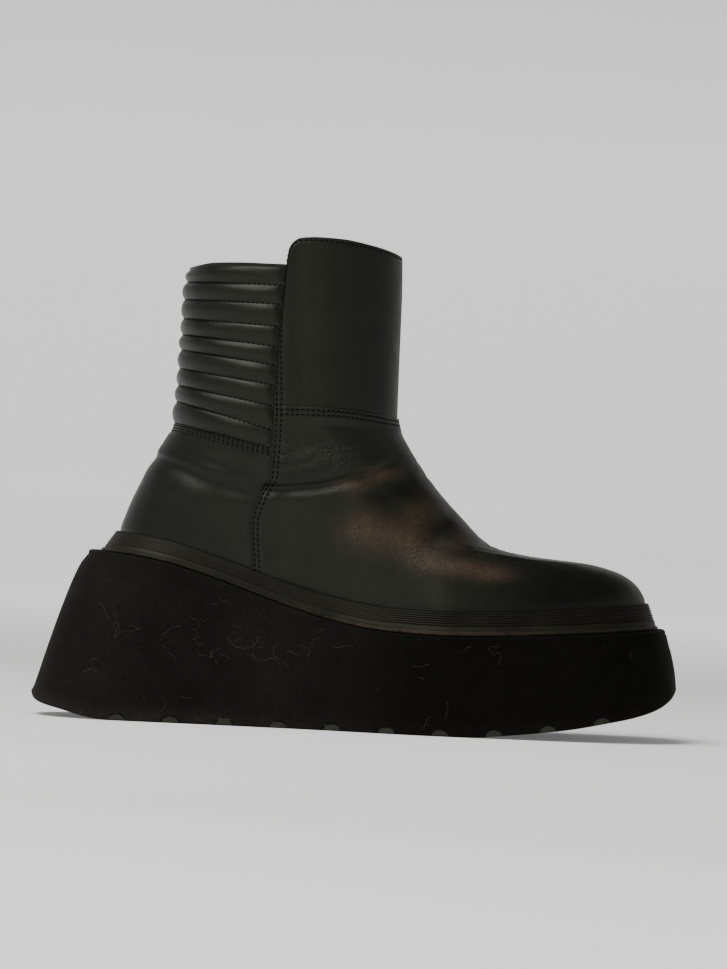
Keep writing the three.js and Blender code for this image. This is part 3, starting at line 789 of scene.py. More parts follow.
def black_leather():
    finish = Finish("black leather", Specular_IOR_Level=0.26, Coat_Weight=0.04, Coat_Roughness=0.25)
    finish.set("Specular Tint", (0.96, 1.0, 0.82, 1))
    cloudy = finish.clouds(26, 4, 0.6, 0.3, 0.72, 0.55, 1)
    # lightness of the leather, darkened where shade is painted in folds, hollows, the shaft's front and the
    # ribs
    tone_and_shade = finish.times(finish.mask("tone_and_shade"), cloudy)
    colour = finish.blend(tone_and_shade, rgb(5, 6, 4), rgb(18, 19, 12))
    grain = finish.noise(0.55, 4, 0.65)
    # brown patches: partly rubbed dye, partly a painted brown sheen
    wear_and_light = finish.times(finish.mask("brown_wear_and_sheen"), finish.clouds(3.2, 5, 0.7, 0.25, 0.65, 0.45, 1))
    colour = finish.blend(wear_and_light, colour, rgb(58, 44, 34))
    # painted glints: light specks on the grain inside the brown patches
    painted_glint = finish.times(wear_and_light, finish.band(grain, 0.56, 0.7))
    colour = finish.blend(painted_glint, colour, rgb(112, 90, 72))
    rough = finish.clouds(9, 4, 0.6, 0.25, 0.75, 0.35, 0.46)
    rough = finish.math("ADD", rough, finish.times(wear_and_light, 0.08))
    wrinkles = finish.noise(1.4, 3, 0.5, 1.0, (0.6, 0.6, 1.3))
    creased = finish.times(finish.mask("crumple"), wrinkles)
    normal = finish.bump(finish.cells(0.95, "SMOOTH_F1"), 0.09, 0.55)
    normal = finish.bump(grain, 0.05, 0.5, normal)
    normal = finish.bump(finish.noise(6, 3, 0.5), 0.22, 0.5, normal)
    return finish.done(colour, rough, finish.bump(creased, 0.85, 1.0, normal))


def platform_rubber():
    finish = Finish("moulded rubber", Specular_IOR_Level=0.05)
    patchy = finish.clouds(14, 5, 0.65, 0.35, 0.7)
    colour = finish.blend(patchy, rgb(5, 5, 4), rgb(10, 10, 8))
    grainy = finish.clouds(1.6, 5, 0.7, 0.25, 0.75, 0.3, 1)
    drifts = finish.clouds(26, 4, 0.6, 0.3, 0.7, 0.55, 1)
    # lighter where dirt settles low on the wall and at the heel, and painted light on the faces the notches
    # cut
    dust_and_light = finish.times(finish.mask("dust_and_light"), finish.times(grainy, drifts))
    colour = finish.blend(dust_and_light, colour, rgb(54, 53, 46))
    # painted light: the faces inside the notches are painted lighter, as if lit from below, with some dirt
    wear_and_light = finish.times(finish.mask("scoop"), finish.clouds(1.2, 4, 0.6, 0.2, 0.7, 0.5, 1))
    colour = finish.blend(wear_and_light, colour, rgb(56, 53, 46))
    specks = finish.clouds(0.9, 2, 0.5, 0.74, 0.79)
    colour = finish.blend(finish.times(specks, 0.4), colour, rgb(110, 106, 96))
    normal = finish.bump(finish.noise(0.7, 4, 0.7), 0.08, 0.6)
    normal = finish.bump(finish.noise(7, 3, 0.5), 0.25, 0.5, normal)
    return finish.done(colour, finish.band(patchy, 0, 1, 0.66, 0.82), normal)


def welt_rubber():
    finish = Finish("welt rubber", Specular_IOR_Level=0.2)
    finish.set("Specular Tint", (1.0, 0.95, 0.8, 1))
    patchy = finish.clouds(16, 4, 0.6, 0.35, 0.7)
    colour = finish.blend(patchy, rgb(12, 11, 8), rgb(26, 24, 17))
    dust_and_light = finish.times(finish.mask("dust_and_light"), finish.clouds(3, 6, 0.7, 0.38, 0.62))
    colour = finish.blend(dust_and_light, colour, rgb(84, 66, 48))
    normal = finish.bump(finish.noise(0.6, 3, 0.6), 0.05, 0.5)
    normal = finish.bump(finish.noise(8, 3, 0.5, 0, (0.3, 0.3, 2)), 0.15, 0.5, normal)
    return finish.done(colour, finish.band(patchy, 0, 1, 0.48, 0.62), normal)


def lining_leather():
    finish = Finish("lining leather", Specular_IOR_Level=0.35)
    colour = finish.blend(finish.clouds(18, 4, 0.6, 0.3, 0.7), rgb(22, 21, 20), rgb(34, 32, 30))
    rough = finish.clouds(7, 3, 0.5, 0.3, 0.7, 0.55, 0.72)
    return finish.done(colour, rough, finish.bump(finish.cells(0.8, "SMOOTH_F1"), 0.07, 0.6))


def sewing_thread():
    finish = Finish("sewing thread", Specular_IOR_Level=0.05, Roughness=0.8)
    return finish.done(finish.blend(finish.noise(0.8, 2), rgb(4, 4, 4), rgb(12, 12, 11)))


def cloth(name, dark, light, thread):
    """Plain weave: two sets of threads that pass over and under each other."""
    finish = Finish(name, Specular_IOR_Level=0.2, Roughness=0.9, Sheen_Weight=0.15)
    waves = []
    for direction in ("X", "Z"):
        inputs = {"Vector": finish.place, "Scale": 1000 / thread / (2 * math.pi)}
        node = finish.add("ShaderNodeTexWave", inputs, bands_direction=direction)
        waves.append(node.outputs["Fac"])
    weave = finish.times(waves[0], waves[1])
    return finish.done(finish.blend(weave, dark, light), normal=finish.bump(weave, 0.12, 0.7))


def gunmetal(name, roughness):
    finish = Finish(name, Metallic=1.0)
    colour = finish.blend(finish.noise(2.5, 4, 0.6), rgb(70, 68, 64), rgb(105, 102, 96))
    rough = finish.clouds(1.2, 4, 0.6, 0.3, 0.7, roughness, roughness + 0.15)
    return finish.done(colour, rough, finish.bump(finish.noise(0.5, 3), 0.02, 0.5))


def lint_fibre():
    finish = Finish("lint", Specular_IOR_Level=0.2, Roughness=0.8)
    return finish.done(finish.blend(finish.noise(4, 2), rgb(62, 60, 55), rgb(118, 115, 107)))


LEATHER = black_leather()
RUBBER = platform_rubber()
WELT_RUBBER = welt_rubber()
LINING = lining_leather()
THREAD = sewing_thread()
TAPE = cloth("zip tape", rgb(12, 12, 12), rgb(30, 30, 29), 0.5)
SOCK = cloth("insole cloth", rgb(20, 19, 18), rgb(38, 36, 33), 0.8)
TEETH = gunmetal("zip teeth", 0.4)
METAL = gunmetal("zip metal", 0.3)
LINT = lint_fibre()


# ---------------------------------------------------------------- camera, floor and light
CAMERA_DISTANCE = 4.5
CAMERA_ELEVATION = math.radians(0.6)
CAMERA_ROLL = math.radians(2.7)
SHOWN_WIDTH = 0.340
BOWL_REACH, BOWL_BEND, BOWL_WALL = 10.0, 2.0, 7.0
LIGHTS = (
    # name, place, size, power
    ("overhead", (-0.6, -0.5, 1.9), 1.2, 38),
    ("front", (-0.8, -1.9, 2.0), 0.8, 19),
)
boot_middle = (cad_box[0] + cad_box[1]) / 2


def aimed(thing):
    """Turn that points a camera or a light at the middle of the boot."""
    return (boot_middle - thing.location).to_track_quat("-Z", "Y")


def set_camera():
    data = bpy.data.cameras.new("camera")
    data.sensor_fit = "HORIZONTAL"
    data.sensor_width = 36
    data.lens = data.sensor_width * CAMERA_DISTANCE / SHOWN_WIDTH
    camera = into_scene("camera", data)
    way = Vector((0, -math.cos(CAMERA_ELEVATION), math.sin(CAMERA_ELEVATION)))
    camera.location = boot_middle + CAMERA_DISTANCE * way
    camera.rotation_euler = (aimed(camera).to_matrix() @ Matrix.Rotation(CAMERA_ROLL, 3, "Z")).to_euler()
    bpy.context.scene.camera = camera


def pale_paper():
    """Paper that glows a little where the studio's walls would send light back."""
    paper = Finish("pale paper", Specular_IOR_Level=0.1, Roughness=0.95, Emission_Strength=1.0)
    spot = paper.add("ShaderNodeSeparateXYZ", {"Vector": paper.place})
    away = paper.add("ShaderNodeVectorMath", {0: paper.place}, operation="LENGTH").outputs["Value"]
    glow = paper.times(paper.band(away, 0.9, 2.2), paper.band(spot.outputs["Z"], 0.5, 1.4, 1, 0))
    glow = paper.times(glow, paper.band(spot.outputs["X"], 0.5, 1.8, 1, 0.1))
    paper.set("Emission Color", paper.blend(glow, (0.12, 0.12, 0.12, 1), (0.78, 0.78, 0.78, 1)))
    paper.material.cycles.emission_sampling = "NONE"
    return paper.done(paper.blend(paper.noise(300, 2), (0.86, 0.86, 0.86, 1), (0.88, 0.88, 0.87, 1)))


def lay_floor():
    """Round floor that curves up into a wall, wide enough to hold the camera on every side."""
    steps, around = 16, 96
    flat = BOWL_REACH - BOWL_BEND
    profile = [(0.0, 0.0), (2.0, 0.0), (flat, 0.0)]
    for angle in (math.pi / 2 * k / steps for k in range(1, steps + 1)):
        profile.append((flat + BOWL_BEND * math.sin(angle), BOWL_BEND * (1 - math.cos(angle))))
    profile.append((BOWL_REACH, BOWL_WALL))
    points = [
        (r * math.cos(2 * math.pi * k / around), r * math.sin(2 * math.pi * k / around), z)
        for r, z in profile for k in range(around)
    ]
    mesh = bpy.data.meshes.new("floor")
    mesh.from_pydata(points, [], grid_faces(len(profile), around, wrap=True).tolist())
    mesh.shade_smooth()
    mesh.materials.append(pale_paper())
    into_scene("floor", mesh)


def light_studio():
    world = bpy.data.worlds.new("studio")
    world.use_nodes = True
    world.node_tree.nodes["Background"].inputs["Color"].default_value = (1, 1, 1, 1)
    world.node_tree.nodes["Background"].inputs["Strength"].default_value = 0.1
    bpy.context.scene.world = world
    for name, location, size, power in LIGHTS:
        data = bpy.data.lights.new(name, "AREA")
        data.size = size
        data.energy = power
        light = into_scene(name, data)
        light.location = location
        light.rotation_euler = aimed(light).to_euler()


set_camera()
lay_floor()
light_studio()


# ---------------------------------------------------------------- panels of the upper
UPPER_THICKNESS = 1.2
LINING_THICKNESS = 1.1
FEATHER_LEVEL = 80              # the panels end behind the welt
VAMP_TOP = ((100, 148.6), (109.3, 149.0), (136.2, 149.4), (151.9, 148), (165.2, 145.6), (175, 143))
SHAFT_FOOT_DROP = 7             # the shaft panel runs on under the vamp by this much
QUARTER_LAP = 5                 # and the quarter under the quilted panel
ZIP_LEVEL = 104                 # above it the zip parts the panels, below it they are sewn together
FAR = 99                        # out of reach of any edge
ZIP_HALF = 3.1                  # from the middle of the zip to the leather's edge

# seams between the ribs: height at the back, height at the side seam
RIB_SEAMS = (
    (137.6, 129.0), (147.6, 137.6), (155.5, 148.8), (163.6, 158.5), (172.4, 167.8), (179.7, 176.4),
    (187.3, 185.8), (196.4, 196.1), (204.8, 204.8),
)
QUILT_FOOT = (132.2, 123.6)     # lower edge of the quilted panel, at the back and at the seam
QUILT_HEAD = 1.2                # from the collar down to the first rib
BAND_HEIGHT = 5.4               # flat band under the lowest rib, with its rows of stitches
BAND_STITCHES = (1.0, 2.2, 3.4, 4.6)
RIB_HEIGHT = 1.75


def across_quilt(at_back, at_seam):
    """A line across the quilted panel: level round the back, then down towards the seam."""
    return lambda x, side: lerp(at_back, at_seam, np.clip((x - 66) / (107 - 66), -0.12, 1.1))


def collar_at(x, side):
    return np.where(side < 0, collar_back(x), collar_inside(x))


def front_collar_at(x, side):
    return np.where(side < 0, collar_front(x), collar_inside(x))


vamp_top = Curve(*zip(*VAMP_TOP))


def opening(closed, open_by):
    """Offset from the line of the zip: one below the zip, the other beside it."""
    return lambda level: lerp(closed, open_by, smooth(level, 100, 108))


def fixed(value):
    return lambda level: np.full(np.shape(level), float(value))


SEAM_LAP = 5                    # the back panels run on under the front ones by this much
front_start = turn_beside(-1, fixed(0))
back_end = turn_beside(-1, fixed(SEAM_LAP))


def front_end(level):
    return 2 + turn_beside(1, opening(0, ZIP_HALF))(level)


back_start = turn_beside(1, opening(SEAM_LAP, -ZIP_HALF))


def make_quarter():
    head = at_height(across_quilt(QUILT_FOOT[0] + QUARTER_LAP, QUILT_FOOT[1] + QUARTER_LAP))
    rows = rows_between(at_level(FEATHER_LEVEL), head, 1.0, PLAIN_EDGE, PLAIN_EDGE)
    panel = Panel(back_start, back_end, rows, 1.1, PLAIN_EDGE, PLAIN_EDGE)
    at_zip = panel.level > ZIP_LEVEL
    lapped = np.minimum(panel.to_end, np.where(at_zip, FAR, panel.from_start))
    panel.height = relief(panel.skin, panel.side) - 0.35 * (1 - smooth(lapped, 3, 8))
    panel.height -= 0.9 * (1 - smooth(panel.to_high, 1, 6))
    panel.roll_down(np.where(at_zip, panel.from_start, FAR), 0.5)
    piece = panel.piece("quarter", UPPER_THICKNESS, LEATHER)
    panel.sew(slice(int(np.argmax(panel.level[:, 0] > ZIP_LEVEL + 2)), None), panel.column_at(FIRST_ROW), 0.1)
    return piece


def make_vamp():
    head = at_height(lambda x, side: vamp_top(x))
    rows = rows_between(at_level(FEATHER_LEVEL), head, 1.15, PLAIN_EDGE, STITCHED_EDGE)
    panel = Panel(front_start, front_end, rows, 1.3, STITCHED_EDGE, STITCHED_EDGE)
    seam_edge = np.minimum(panel.from_start, panel.to_end)
    panel.height = relief(panel.skin, panel.side)
    panel.height += 0.75 * (1 - smooth(seam_edge, 4, 13))
    panel.height += 0.95 * (1 - smooth(panel.to_high, 3, 9))
    panel.height += 0.35 * hump(panel.from_start - 0.9, 0.8)
    panel.pull_down(
        (panel.from_start, FIRST_ROW), (panel.from_start, SECOND_ROW), (panel.to_end, FIRST_ROW),
        (panel.to_high, FIRST_ROW), (panel.to_high, SECOND_ROW),
    )
    panel.roll_down(seam_edge)
    panel.roll_down(panel.to_high)
    piece = panel.piece("vamp", UPPER_THICKNESS, LEATHER)
    left, right = panel.column_at(FIRST_ROW), panel.column_at(FIRST_ROW, True)
    for distance in (FIRST_ROW, SECOND_ROW):
        panel.sew(panel.row_at(distance), slice(left, right + 1))
    for column in (left, right, panel.column_at(SECOND_ROW)):
        panel.sew(slice(6, panel.row_at(FIRST_ROW)), column)
    return piece


def make_shaft_front():
    foot = at_height(lambda x, side: vamp_top(x) - SHAFT_FOOT_DROP)
    rows = rows_between(foot, at_height(front_collar_at), 1.15, PLAIN_EDGE, STITCHED_EDGE)
    panel = Panel(front_start, front_end, rows, 1.2, STITCHED_EDGE, STITCHED_EDGE)
    panel.height = relief(panel.skin, panel.side)
    panel.height += 0.6 * (1 - smooth(panel.from_start, 5, 14)) * smooth(panel.from_low, 3, 9)
    panel.pull_down(
        (panel.from_start, FIRST_ROW), (panel.from_start, SECOND_ROW), (panel.to_end, FIRST_ROW),
        (panel.to_high, FIRST_ROW),
    )
    panel.roll_down(np.minimum(panel.from_start, panel.to_end))
    panel.roll_down(panel.to_high)
    piece = panel.piece("shaft_front", UPPER_THICKNESS, LEATHER)
    above = int(np.argmax(np.median(panel.from_low, axis=1) > SHAFT_FOOT_DROP + 0.5))
    top = panel.row_at(FIRST_ROW)
    left, right = panel.column_at(FIRST_ROW), panel.column_at(FIRST_ROW, True)
    panel.sew(slice(above, top + 1), left)
    panel.sew(slice(above, top - 2), panel.column_at(SECOND_ROW))
    panel.sew(slice(above, top + 1), right)
    panel.sew(top, slice(left, right + 1))
    return piece


def make_quilt():
    """Padded panel at the back of the shaft, with rounded ribs between rows of stitches."""
    per_rib = 0.5 - 0.5 * np.cos(np.pi * np.linspace(0, 1, 13)[:-1])
    band_rows = (0, 0.1, 0.3, 0.6, 1.0, 1.4, 1.8, 2.2, 2.6, 3.0, 3.4, 3.8, 4.2, 4.6, 5.0)
    head_shares = (0, 0.35, 0.65, 0.85, 1)
    first, count, ribs = len(band_rows), len(per_rib), len(RIB_SEAMS)

    def rows(turn_of):
        def line(height):
            return level_where(height, turn_of, FINE)

        foot = line(across_quilt(*QUILT_FOOT))
        head = line(lambda x, side: collar_at(x, side) - QUILT_HEAD)
        seams = [line(across_quilt(*pair)) for pair in RIB_SEAMS] + [head]
        lines = [lerp(foot, seams[0], d / BAND_HEIGHT) for d in band_rows]
        lines += [lerp(low, high, share) for low, high in zip(seams, seams[1:]) for share in per_rib]
        return np.stack(lines + [lerp(head, line(collar_at), share) for share in head_shares])

    panel = Panel(back_start, back_end, rows, 1.0, PLAIN_EDGE, PLAIN_EDGE)
    total = len(panel.level)
    swell = np.zeros(total)
    swell[first:first + ribs * count] = np.tile(np.sin(np.pi * per_rib) ** 0.72, ribs)
    pinched = smooth(panel.to_end, SEAM_LAP + 0.2, SEAM_LAP + 3.4) * smooth(panel.from_start, 0.5, 5)
    wander = 1 + 0.10 * np.sin(panel.turn * 23 + np.arange(total)[:, None] // count * 1.7)
    flatter = 1 - 0.3 * smooth(panel.skin[..., 0], 74, 104)
    panel.height = -1.1 + RIB_HEIGHT * swell[:, None] * (0.1 + 0.9 * pinched) * wander * flatter
    in_band = np.array(list(band_rows) + [FAR] * (total - first))[:, None]
    ridges = sum(hump(in_band - row, 0.33) for row in BAND_STITCHES)
    panel.height += (in_band < FAR) * (0.75 - 0.3 * ridges)
    panel.height[-len(head_shares):] += 0.5
    panel.height += relief(panel.skin, panel.side) * 0.6
    panel.roll_down(in_band, radius=0.7)
    panel.roll_down(panel.from_start)
    piece = panel.piece("quilted_back", 0.9, LEATHER)
    columns = slice(3, panel.column_at(SEAM_LAP + 0.5, True))
    for row in [first + k * count for k in range(ribs)] + [band_rows.index(row) for row in BAND_STITCHES]:
        panel.sew(row, columns, 0.1)
    return piece


def make_lining():
    pieces = []
    for name, start, end, top in (
        ("lining_front", front_start, front_end,
         lambda x, side: front_collar_at(np.maximum(x, 60), side) - 0.4),
        ("lining_back", back_start, front_start, lambda x, side: collar_at(x, side) - 0.4),
    ):
        rows = rows_between(at_level(FEATHER_LEVEL), at_height(top), 2.4, PLAIN_EDGE, PLAIN_EDGE)
        panel = Panel(start, end, rows, 2.4, PLAIN_EDGE, PLAIN_EDGE)
        panel.height = relief(panel.skin, panel.side) * 0.8 - UPPER_THICKNESS - 0.1
        if name == "lining_back":
            behind_quilt = smooth(panel.skin[..., 2], 125, 138) * smooth(panel.to_high, 0, 3)
            panel.height -= 0.7 * behind_quilt
        panel.roll_down(panel.to_high, 1 / 3)
        pieces.append(panel.piece(name, LINING_THICKNESS, LINING))
        if name == "lining_back":
            middle = nearest(np.median(panel.turn, axis=0), 0)
            for column in (middle - 1, middle + 1):
                panel.sew(slice(6, None), column, -LINING_THICKNESS - 0.1, -1)
    return pieces


# ---------------------------------------------------------------- platform, welt and insole
def ring_points(row, split, ways):
    """Points round a ring, from the back point by the outside, the front and the inside."""
    outside = along(row, split, ways)
    x = np.concatenate([outside, outside[-2:0:-1]])
    side = np.concatenate([-np.ones(len(ways)), np.ones(len(ways) - 2)])
    y = swing(x) * row["swing"] + side * half_width(row, x, side)
    return x, y


def narrowed(row, by):
    """The row of a ring that lies inside another one by so many millimetres."""
    narrower = {name: row[name] - by for name in STATION_NAMES}
    return {**row, **narrower, "back": row["back"] + by, "front": row["front"] - by}


def ring_faces(rings):
    """Faces round a stack of rings, and across the foot at its first and last ring."""
    layers, count = rings.shape[:2]
    faces = grid_faces(layers, count, wrap=True).tolist()
    for base, way in ((0, 1), ((layers - 1) * count, -1)):
        for j in range(count // 2):
            quad = [base + j, base + (-j) % count, base + (-j - 1) % count, base + (j + 1) % count]
            quad = list(dict.fromkeys(quad))
            if len(quad) > 2:
                faces.append(quad[::way])
    return faces


def around_foot(rear, fore):
    """Shares of the way from the back point to the front point, with so many steps on each part."""
    return np.concatenate([np.linspace(0, SPLIT, rear)[:-1], np.linspace(SPLIT, 1, fore)])


INSOLE_LEVEL, INSOLE_MARGIN = 78.0, 3.4
# rings from the underside over the edge: how much narrower, how high
INSOLE_RINGS = (
    (0.3, 0), (0, 0.4), (0, 2.8), (0.3, 3.6), (1.0, 4.0), (3.0, 3.85), (7, 3.5), (12, 3.2),
)
WALL_ROWS = (
    # share of the wall's height, how much narrower, how much higher
    (0, 1.5, 0), (0, 0.85, 0.1), (0, 0.4, 0.35), (0.006, 0.12, 0.3), (0.02, 0, 0.2),
    *((share, 0, 0) for share in np.linspace(0.05, 0.92, 26)),
    (1, 0, -2.0), (1, 0.02, -1.3), (1, 0.14, -0.75), (1, 0.45, -0.3), (1, 0.9, -0.07), (1, 1.5, 0),
)


def make_platform():
    ways = around_foot(56, 108)
    rings = []
    dust_and_light = []
    for share, narrower, lift in WALL_ROWS:
        x, y = ring_points(narrowed(wall_row(share), narrower), RING_SPLIT, ways)
        z = lerp(underside(x), bed(x), share) + lift
        rings.append(np.stack([x, y, z], -1))
        low = smooth(9 - (z - underside(x)), 0, 9) * lerp(0.45, 0.12, smooth(x, 60, 150))
        dust_and_light.append(low + 0.3 * (1 - smooth(x, 120, 180)) + 0.02)
    rings = np.array(rings)
    piece = mesh_piece("platform", rings, ring_faces(rings), RUBBER, {"dust_and_light": np.array(dust_and_light)})
    carve_tread(piece)
    return piece


NOTCH_PITCH, NOTCH_FIRST, NOTCH_COUNT = 25, 41.5, 10
NOTCH_WIDTH, NOTCH_HEIGHT, NOTCH_DEPTH = 8, 3, 7
GROOVE_WIDTH, GROOVE_DEPTH, GROOVE_MARGIN = 4, 2.5, 17


def half_at(x, side):
    return float(half_width(wall_row(0.0), np.array([x]), np.array([side]))[0])


def scoop(x, y, z):
    """Points and faces of a closed ball, long across the foot, that cuts one notch."""
    around, deep = 20, 10
    points = [(x, y - NOTCH_DEPTH, z)]
    for b in (math.pi * ring / deep for ring in range(1, deep)):
        for a in (2 * math.pi * k / around for k in range(around)):
            points.append((
                x + NOTCH_WIDTH / 2 * math.sin(b) * math.cos(a), y - NOTCH_DEPTH * math.cos(b),
                z + NOTCH_HEIGHT * math.sin(b) * math.sin(a),
            ))
    points.append((x, y + NOTCH_DEPTH, z))
    ring, after = np.arange(around), (np.arange(around) + 1) % around
    faces = [[0, 1 + after[k], 1 + k] for k in ring]
    for base in range(1, 1 + (deep - 2) * around, around):
        faces += [[base + k, base + after[k], base + around + after[k], base + around + k] for k in ring]
    base = 1 + (deep - 2) * around
    return points, faces + [[base + k, base + after[k], len(points) - 1] for k in ring]


def groove(x):
    """Points and faces of the box that cuts one groove across the sole."""
    half = half_at(x, -1.0) - GROOVE_MARGIN
    middle, level = float(swing(x)), float(underside(x))
    points = [
        (a, b, c)
        for c in (level - GROOVE_DEPTH, level + GROOVE_DEPTH)
        for b in (middle - half, middle + half)
        for a in (x - GROOVE_WIDTH / 2, x + GROOVE_WIDTH / 2)
    ]
    return points, [[0, 2, 3, 1], [4, 5, 7, 6], [0, 1, 5, 4], [2, 6, 7, 3], [0, 4, 6, 2], [1, 3, 7, 5]]


def carve_tread(piece):
    """Half-round notches along both lower edges, and cross grooves under the sole."""
    points, faces, scoops = [], [], []
    for i in range(NOTCH_COUNT):
        x = NOTCH_FIRST + i * NOTCH_PITCH
        centres = [
            (x, float(swing(x)) + side * half_at(x, side), float(underside(x))) for side in (-1.0, 1.0)
        ]
        scoops += centres
        cuts = [scoop(*centre) for centre in centres]
        if i < NOTCH_COUNT - 1:
            cuts.append(groove(x + NOTCH_PITCH / 2))
        for block, block_faces in cuts:
            faces += [[len(points) + int(k) for k in face] for face in block_faces]
            points += block
    # the cutter's value paints the faces it cuts lighter: painted light in the notches, with some dirt
    cutter = mesh_piece("tread_cutter", points, faces, RUBBER, {"dust_and_light": np.full(len(points), 0.5)})
    modifier = piece.modifiers.new("tread", "BOOLEAN")
    modifier.operation = "DIFFERENCE"
    modifier.solver = "EXACT"
    modifier.object = cutter
    carved = plain_mesh(piece)
    piece.modifiers.clear()
    piece.data = carved
    bpy.data.objects.remove(cutter)
    carved.shade_smooth()
    sharpen(carved, 35)
    # mark the faces inside the notches, which the rubber's finish paints lighter: painted light, with some
    # dirt
    centres = np.zeros(3 * len(carved.polygons))
    carved.polygons.foreach_get("center", centres)
    away = centres.reshape(-1, 1, 3) / MM - SHIFT - np.array(scoops)
    reach = (NOTCH_WIDTH / 2, NOTCH_DEPTH, NOTCH_HEIGHT)
    layer = carved.attributes.new("scoop", "FLOAT", "FACE")
    in_scoop = np.linalg.norm(away / reach, axis=-1).min(axis=1) < 1.02
    layer.data.foreach_set("value", in_scoop.astype(np.float32))


def sharpen(mesh, degrees):
    """Merge doubles, mark the edges that turn by more than this as sharp, and keep the rest smooth."""
    work = bmesh.new()
    work.from_mesh(mesh)
    bmesh.ops.remove_doubles(work, verts=work.verts, dist=2e-6)
    bmesh.ops.dissolve_degenerate(work, edges=work.edges, dist=2e-6)
    limit = math.radians(degrees)
    for edge in work.edges:
        edge.smooth = len(edge.link_faces) != 2 or edge.calc_face_angle(0) < limit
    work.to_mesh(mesh)
    work.free()


RIDGE_FIRST, RIDGE_LAST, RIDGE_COUNT = 0.40, 0.97, 6


def make_welt():
    """Band round the foot of the upper: fine ridges above, a plain sloping lip and a bead below."""
    ways = around_foot(70, 150)
    shares = np.concatenate([[0, 0.02], np.linspace(0.045, 0.985, 66), [1.0]])
    bands = []
    for share in shares:
        row = {**welt_row(share), **WELT_ENDS}
        x, y = ring_points(row, RING_SPLIT, ways)
        top = height_at(upper_row(float(WELT_TOP_LEVEL)), WELT_TOP_LEVEL, x)
        z = lerp(bed(x) + GAP, top, share)
        bands.append(np.stack([x, y, z], -1))
    bands = np.array(bands)
    x = bands[..., 0]
    normal = normals_of(np.concatenate([bands[:, -1:], bands, bands[:, :1]], 1))[:, 1:-1]
    s = shares[:, None]
    wave = (s - RIDGE_FIRST) / (RIDGE_LAST - RIDGE_FIRST) * RIDGE_COUNT
    inside = (s > RIDGE_FIRST - 0.02) & (s < RIDGE_LAST + 0.02)
    groove = np.where(inside, hump((wave - np.round(wave)), 0.2), 0)
    strength = 0.4 + 0.6 * smooth(x, 120, 215)
    height = -0.75 * groove * strength
    height += 0.5 * hump(s - 0.07, 0.05) - 0.35 * hump(s - 0.16, 0.05)
    height -= 0.2 * smooth(s, 0.16, 0.3) * (s < RIDGE_FIRST)
    outside = bands + normal * height[..., None]
    worn_stretch = 0.35 + 0.65 * hump(x - 175, 55)
    wear_and_light = (0.1 * groove + 0.8 * hump(s - 0.02, 0.06) + 0.3 * hump(s - 0.17, 0.04)) * worn_stretch
    levels = (WELT_TOP_LEVEL - 0.6, 84, 80, 77.8)      # of the rings behind the band, downwards
    inner_rings = []
    for level in levels:
        turn = np.clip(ways, 1e-6, 1)
        ring = np.concatenate([skin(level, turn), skin(level, -turn)[-2:0:-1]])
        around = np.roll(ring, -1, 0) - np.roll(ring, 1, 0)
        out = np.cross(around, (0, 0, 1))
        out /= np.linalg.norm(out, axis=-1, keepdims=True)
        inner_rings.append(ring + out * 0.25)
    inner_rings[-1][:, 2] = bed(inner_rings[-1][:, 0]) + GAP
    rings = np.concatenate([outside, np.array(inner_rings)])
    dust_and_light = np.concatenate([wear_and_light, np.zeros((len(levels), rings.shape[1]))])
    faces = tube_faces(*rings.shape[:2]).tolist()
    return mesh_piece("ridged_welt", rings, faces, WELT_RUBBER, {"dust_and_light": dust_and_light})


def make_insole():
    ways = around_foot(30, 50)
    row = narrowed(upper_row(INSOLE_LEVEL), INSOLE_MARGIN)
    rings = []
    for narrower, height in INSOLE_RINGS:
        x, y = ring_points(narrowed(row, narrower), RING_SPLIT, ways)
        rings.append(np.stack([x, y, bed(x) + GAP + height], -1))
    rings = np.array(rings)
    return mesh_piece("insole_sock", rings, ring_faces(rings), SOCK)


# ---------------------------------------------------------------- zip
ZIP_BOTTOM, ZIP_TOP = 94, 212


def zip_line_points(heights, depth, across=0.0):
    """Points on the middle line of the zip, a little under the leather, and the way out."""
    turn_of = turn_beside(1, fixed(across))
    level = level_where(lambda x, side: heights, turn_of, heights.shape)
    turn = turn_of(level)
    point = skin(level, turn)
    up = skin(level + 0.4, turn) - point
    round_it = skin(level, turn - 0.004) - skin(level, turn + 0.004)
    normal = np.cross(up, round_it)
    normal *= np.sign(normal[:, 1:2])
    normal /= np.linalg.norm(normal, axis=-1, keepdims=True)
    return point - normal * depth, normal


def make_zip_tape():
    heights = np.linspace(ZIP_BOTTOM - 3, ZIP_TOP, 110)
    widths = np.linspace(-5.2, 5.2, 15)
    columns = [zip_line_points(heights, 1.35 - 0.5 * hump(w, 1.6), w) for w in widths]
    outer = np.stack([points for points, _ in columns], 1)
    normal = np.stack([way for _, way in columns], 1)
    inner = outer - normal * 0.7
    faces = np.array(shell_faces(*outer.shape[:2]))[:, ::-1].tolist()
    points = np.concatenate([outer.reshape(-1, 3), inner.reshape(-1, 3)])
    return mesh_piece("zip_tape_cloth", points, faces, TAPE)


def make_teeth():
    heights = np.linspace(ZIP_BOTTOM + 3, ZIP_TOP - 1.5, 140)
    rows = [zip_line_points(heights, 0.75, w) for w in (-0.75, 0.75)]
    return stamp_along("zip_teeth", rows, TOOTH, TEETH)


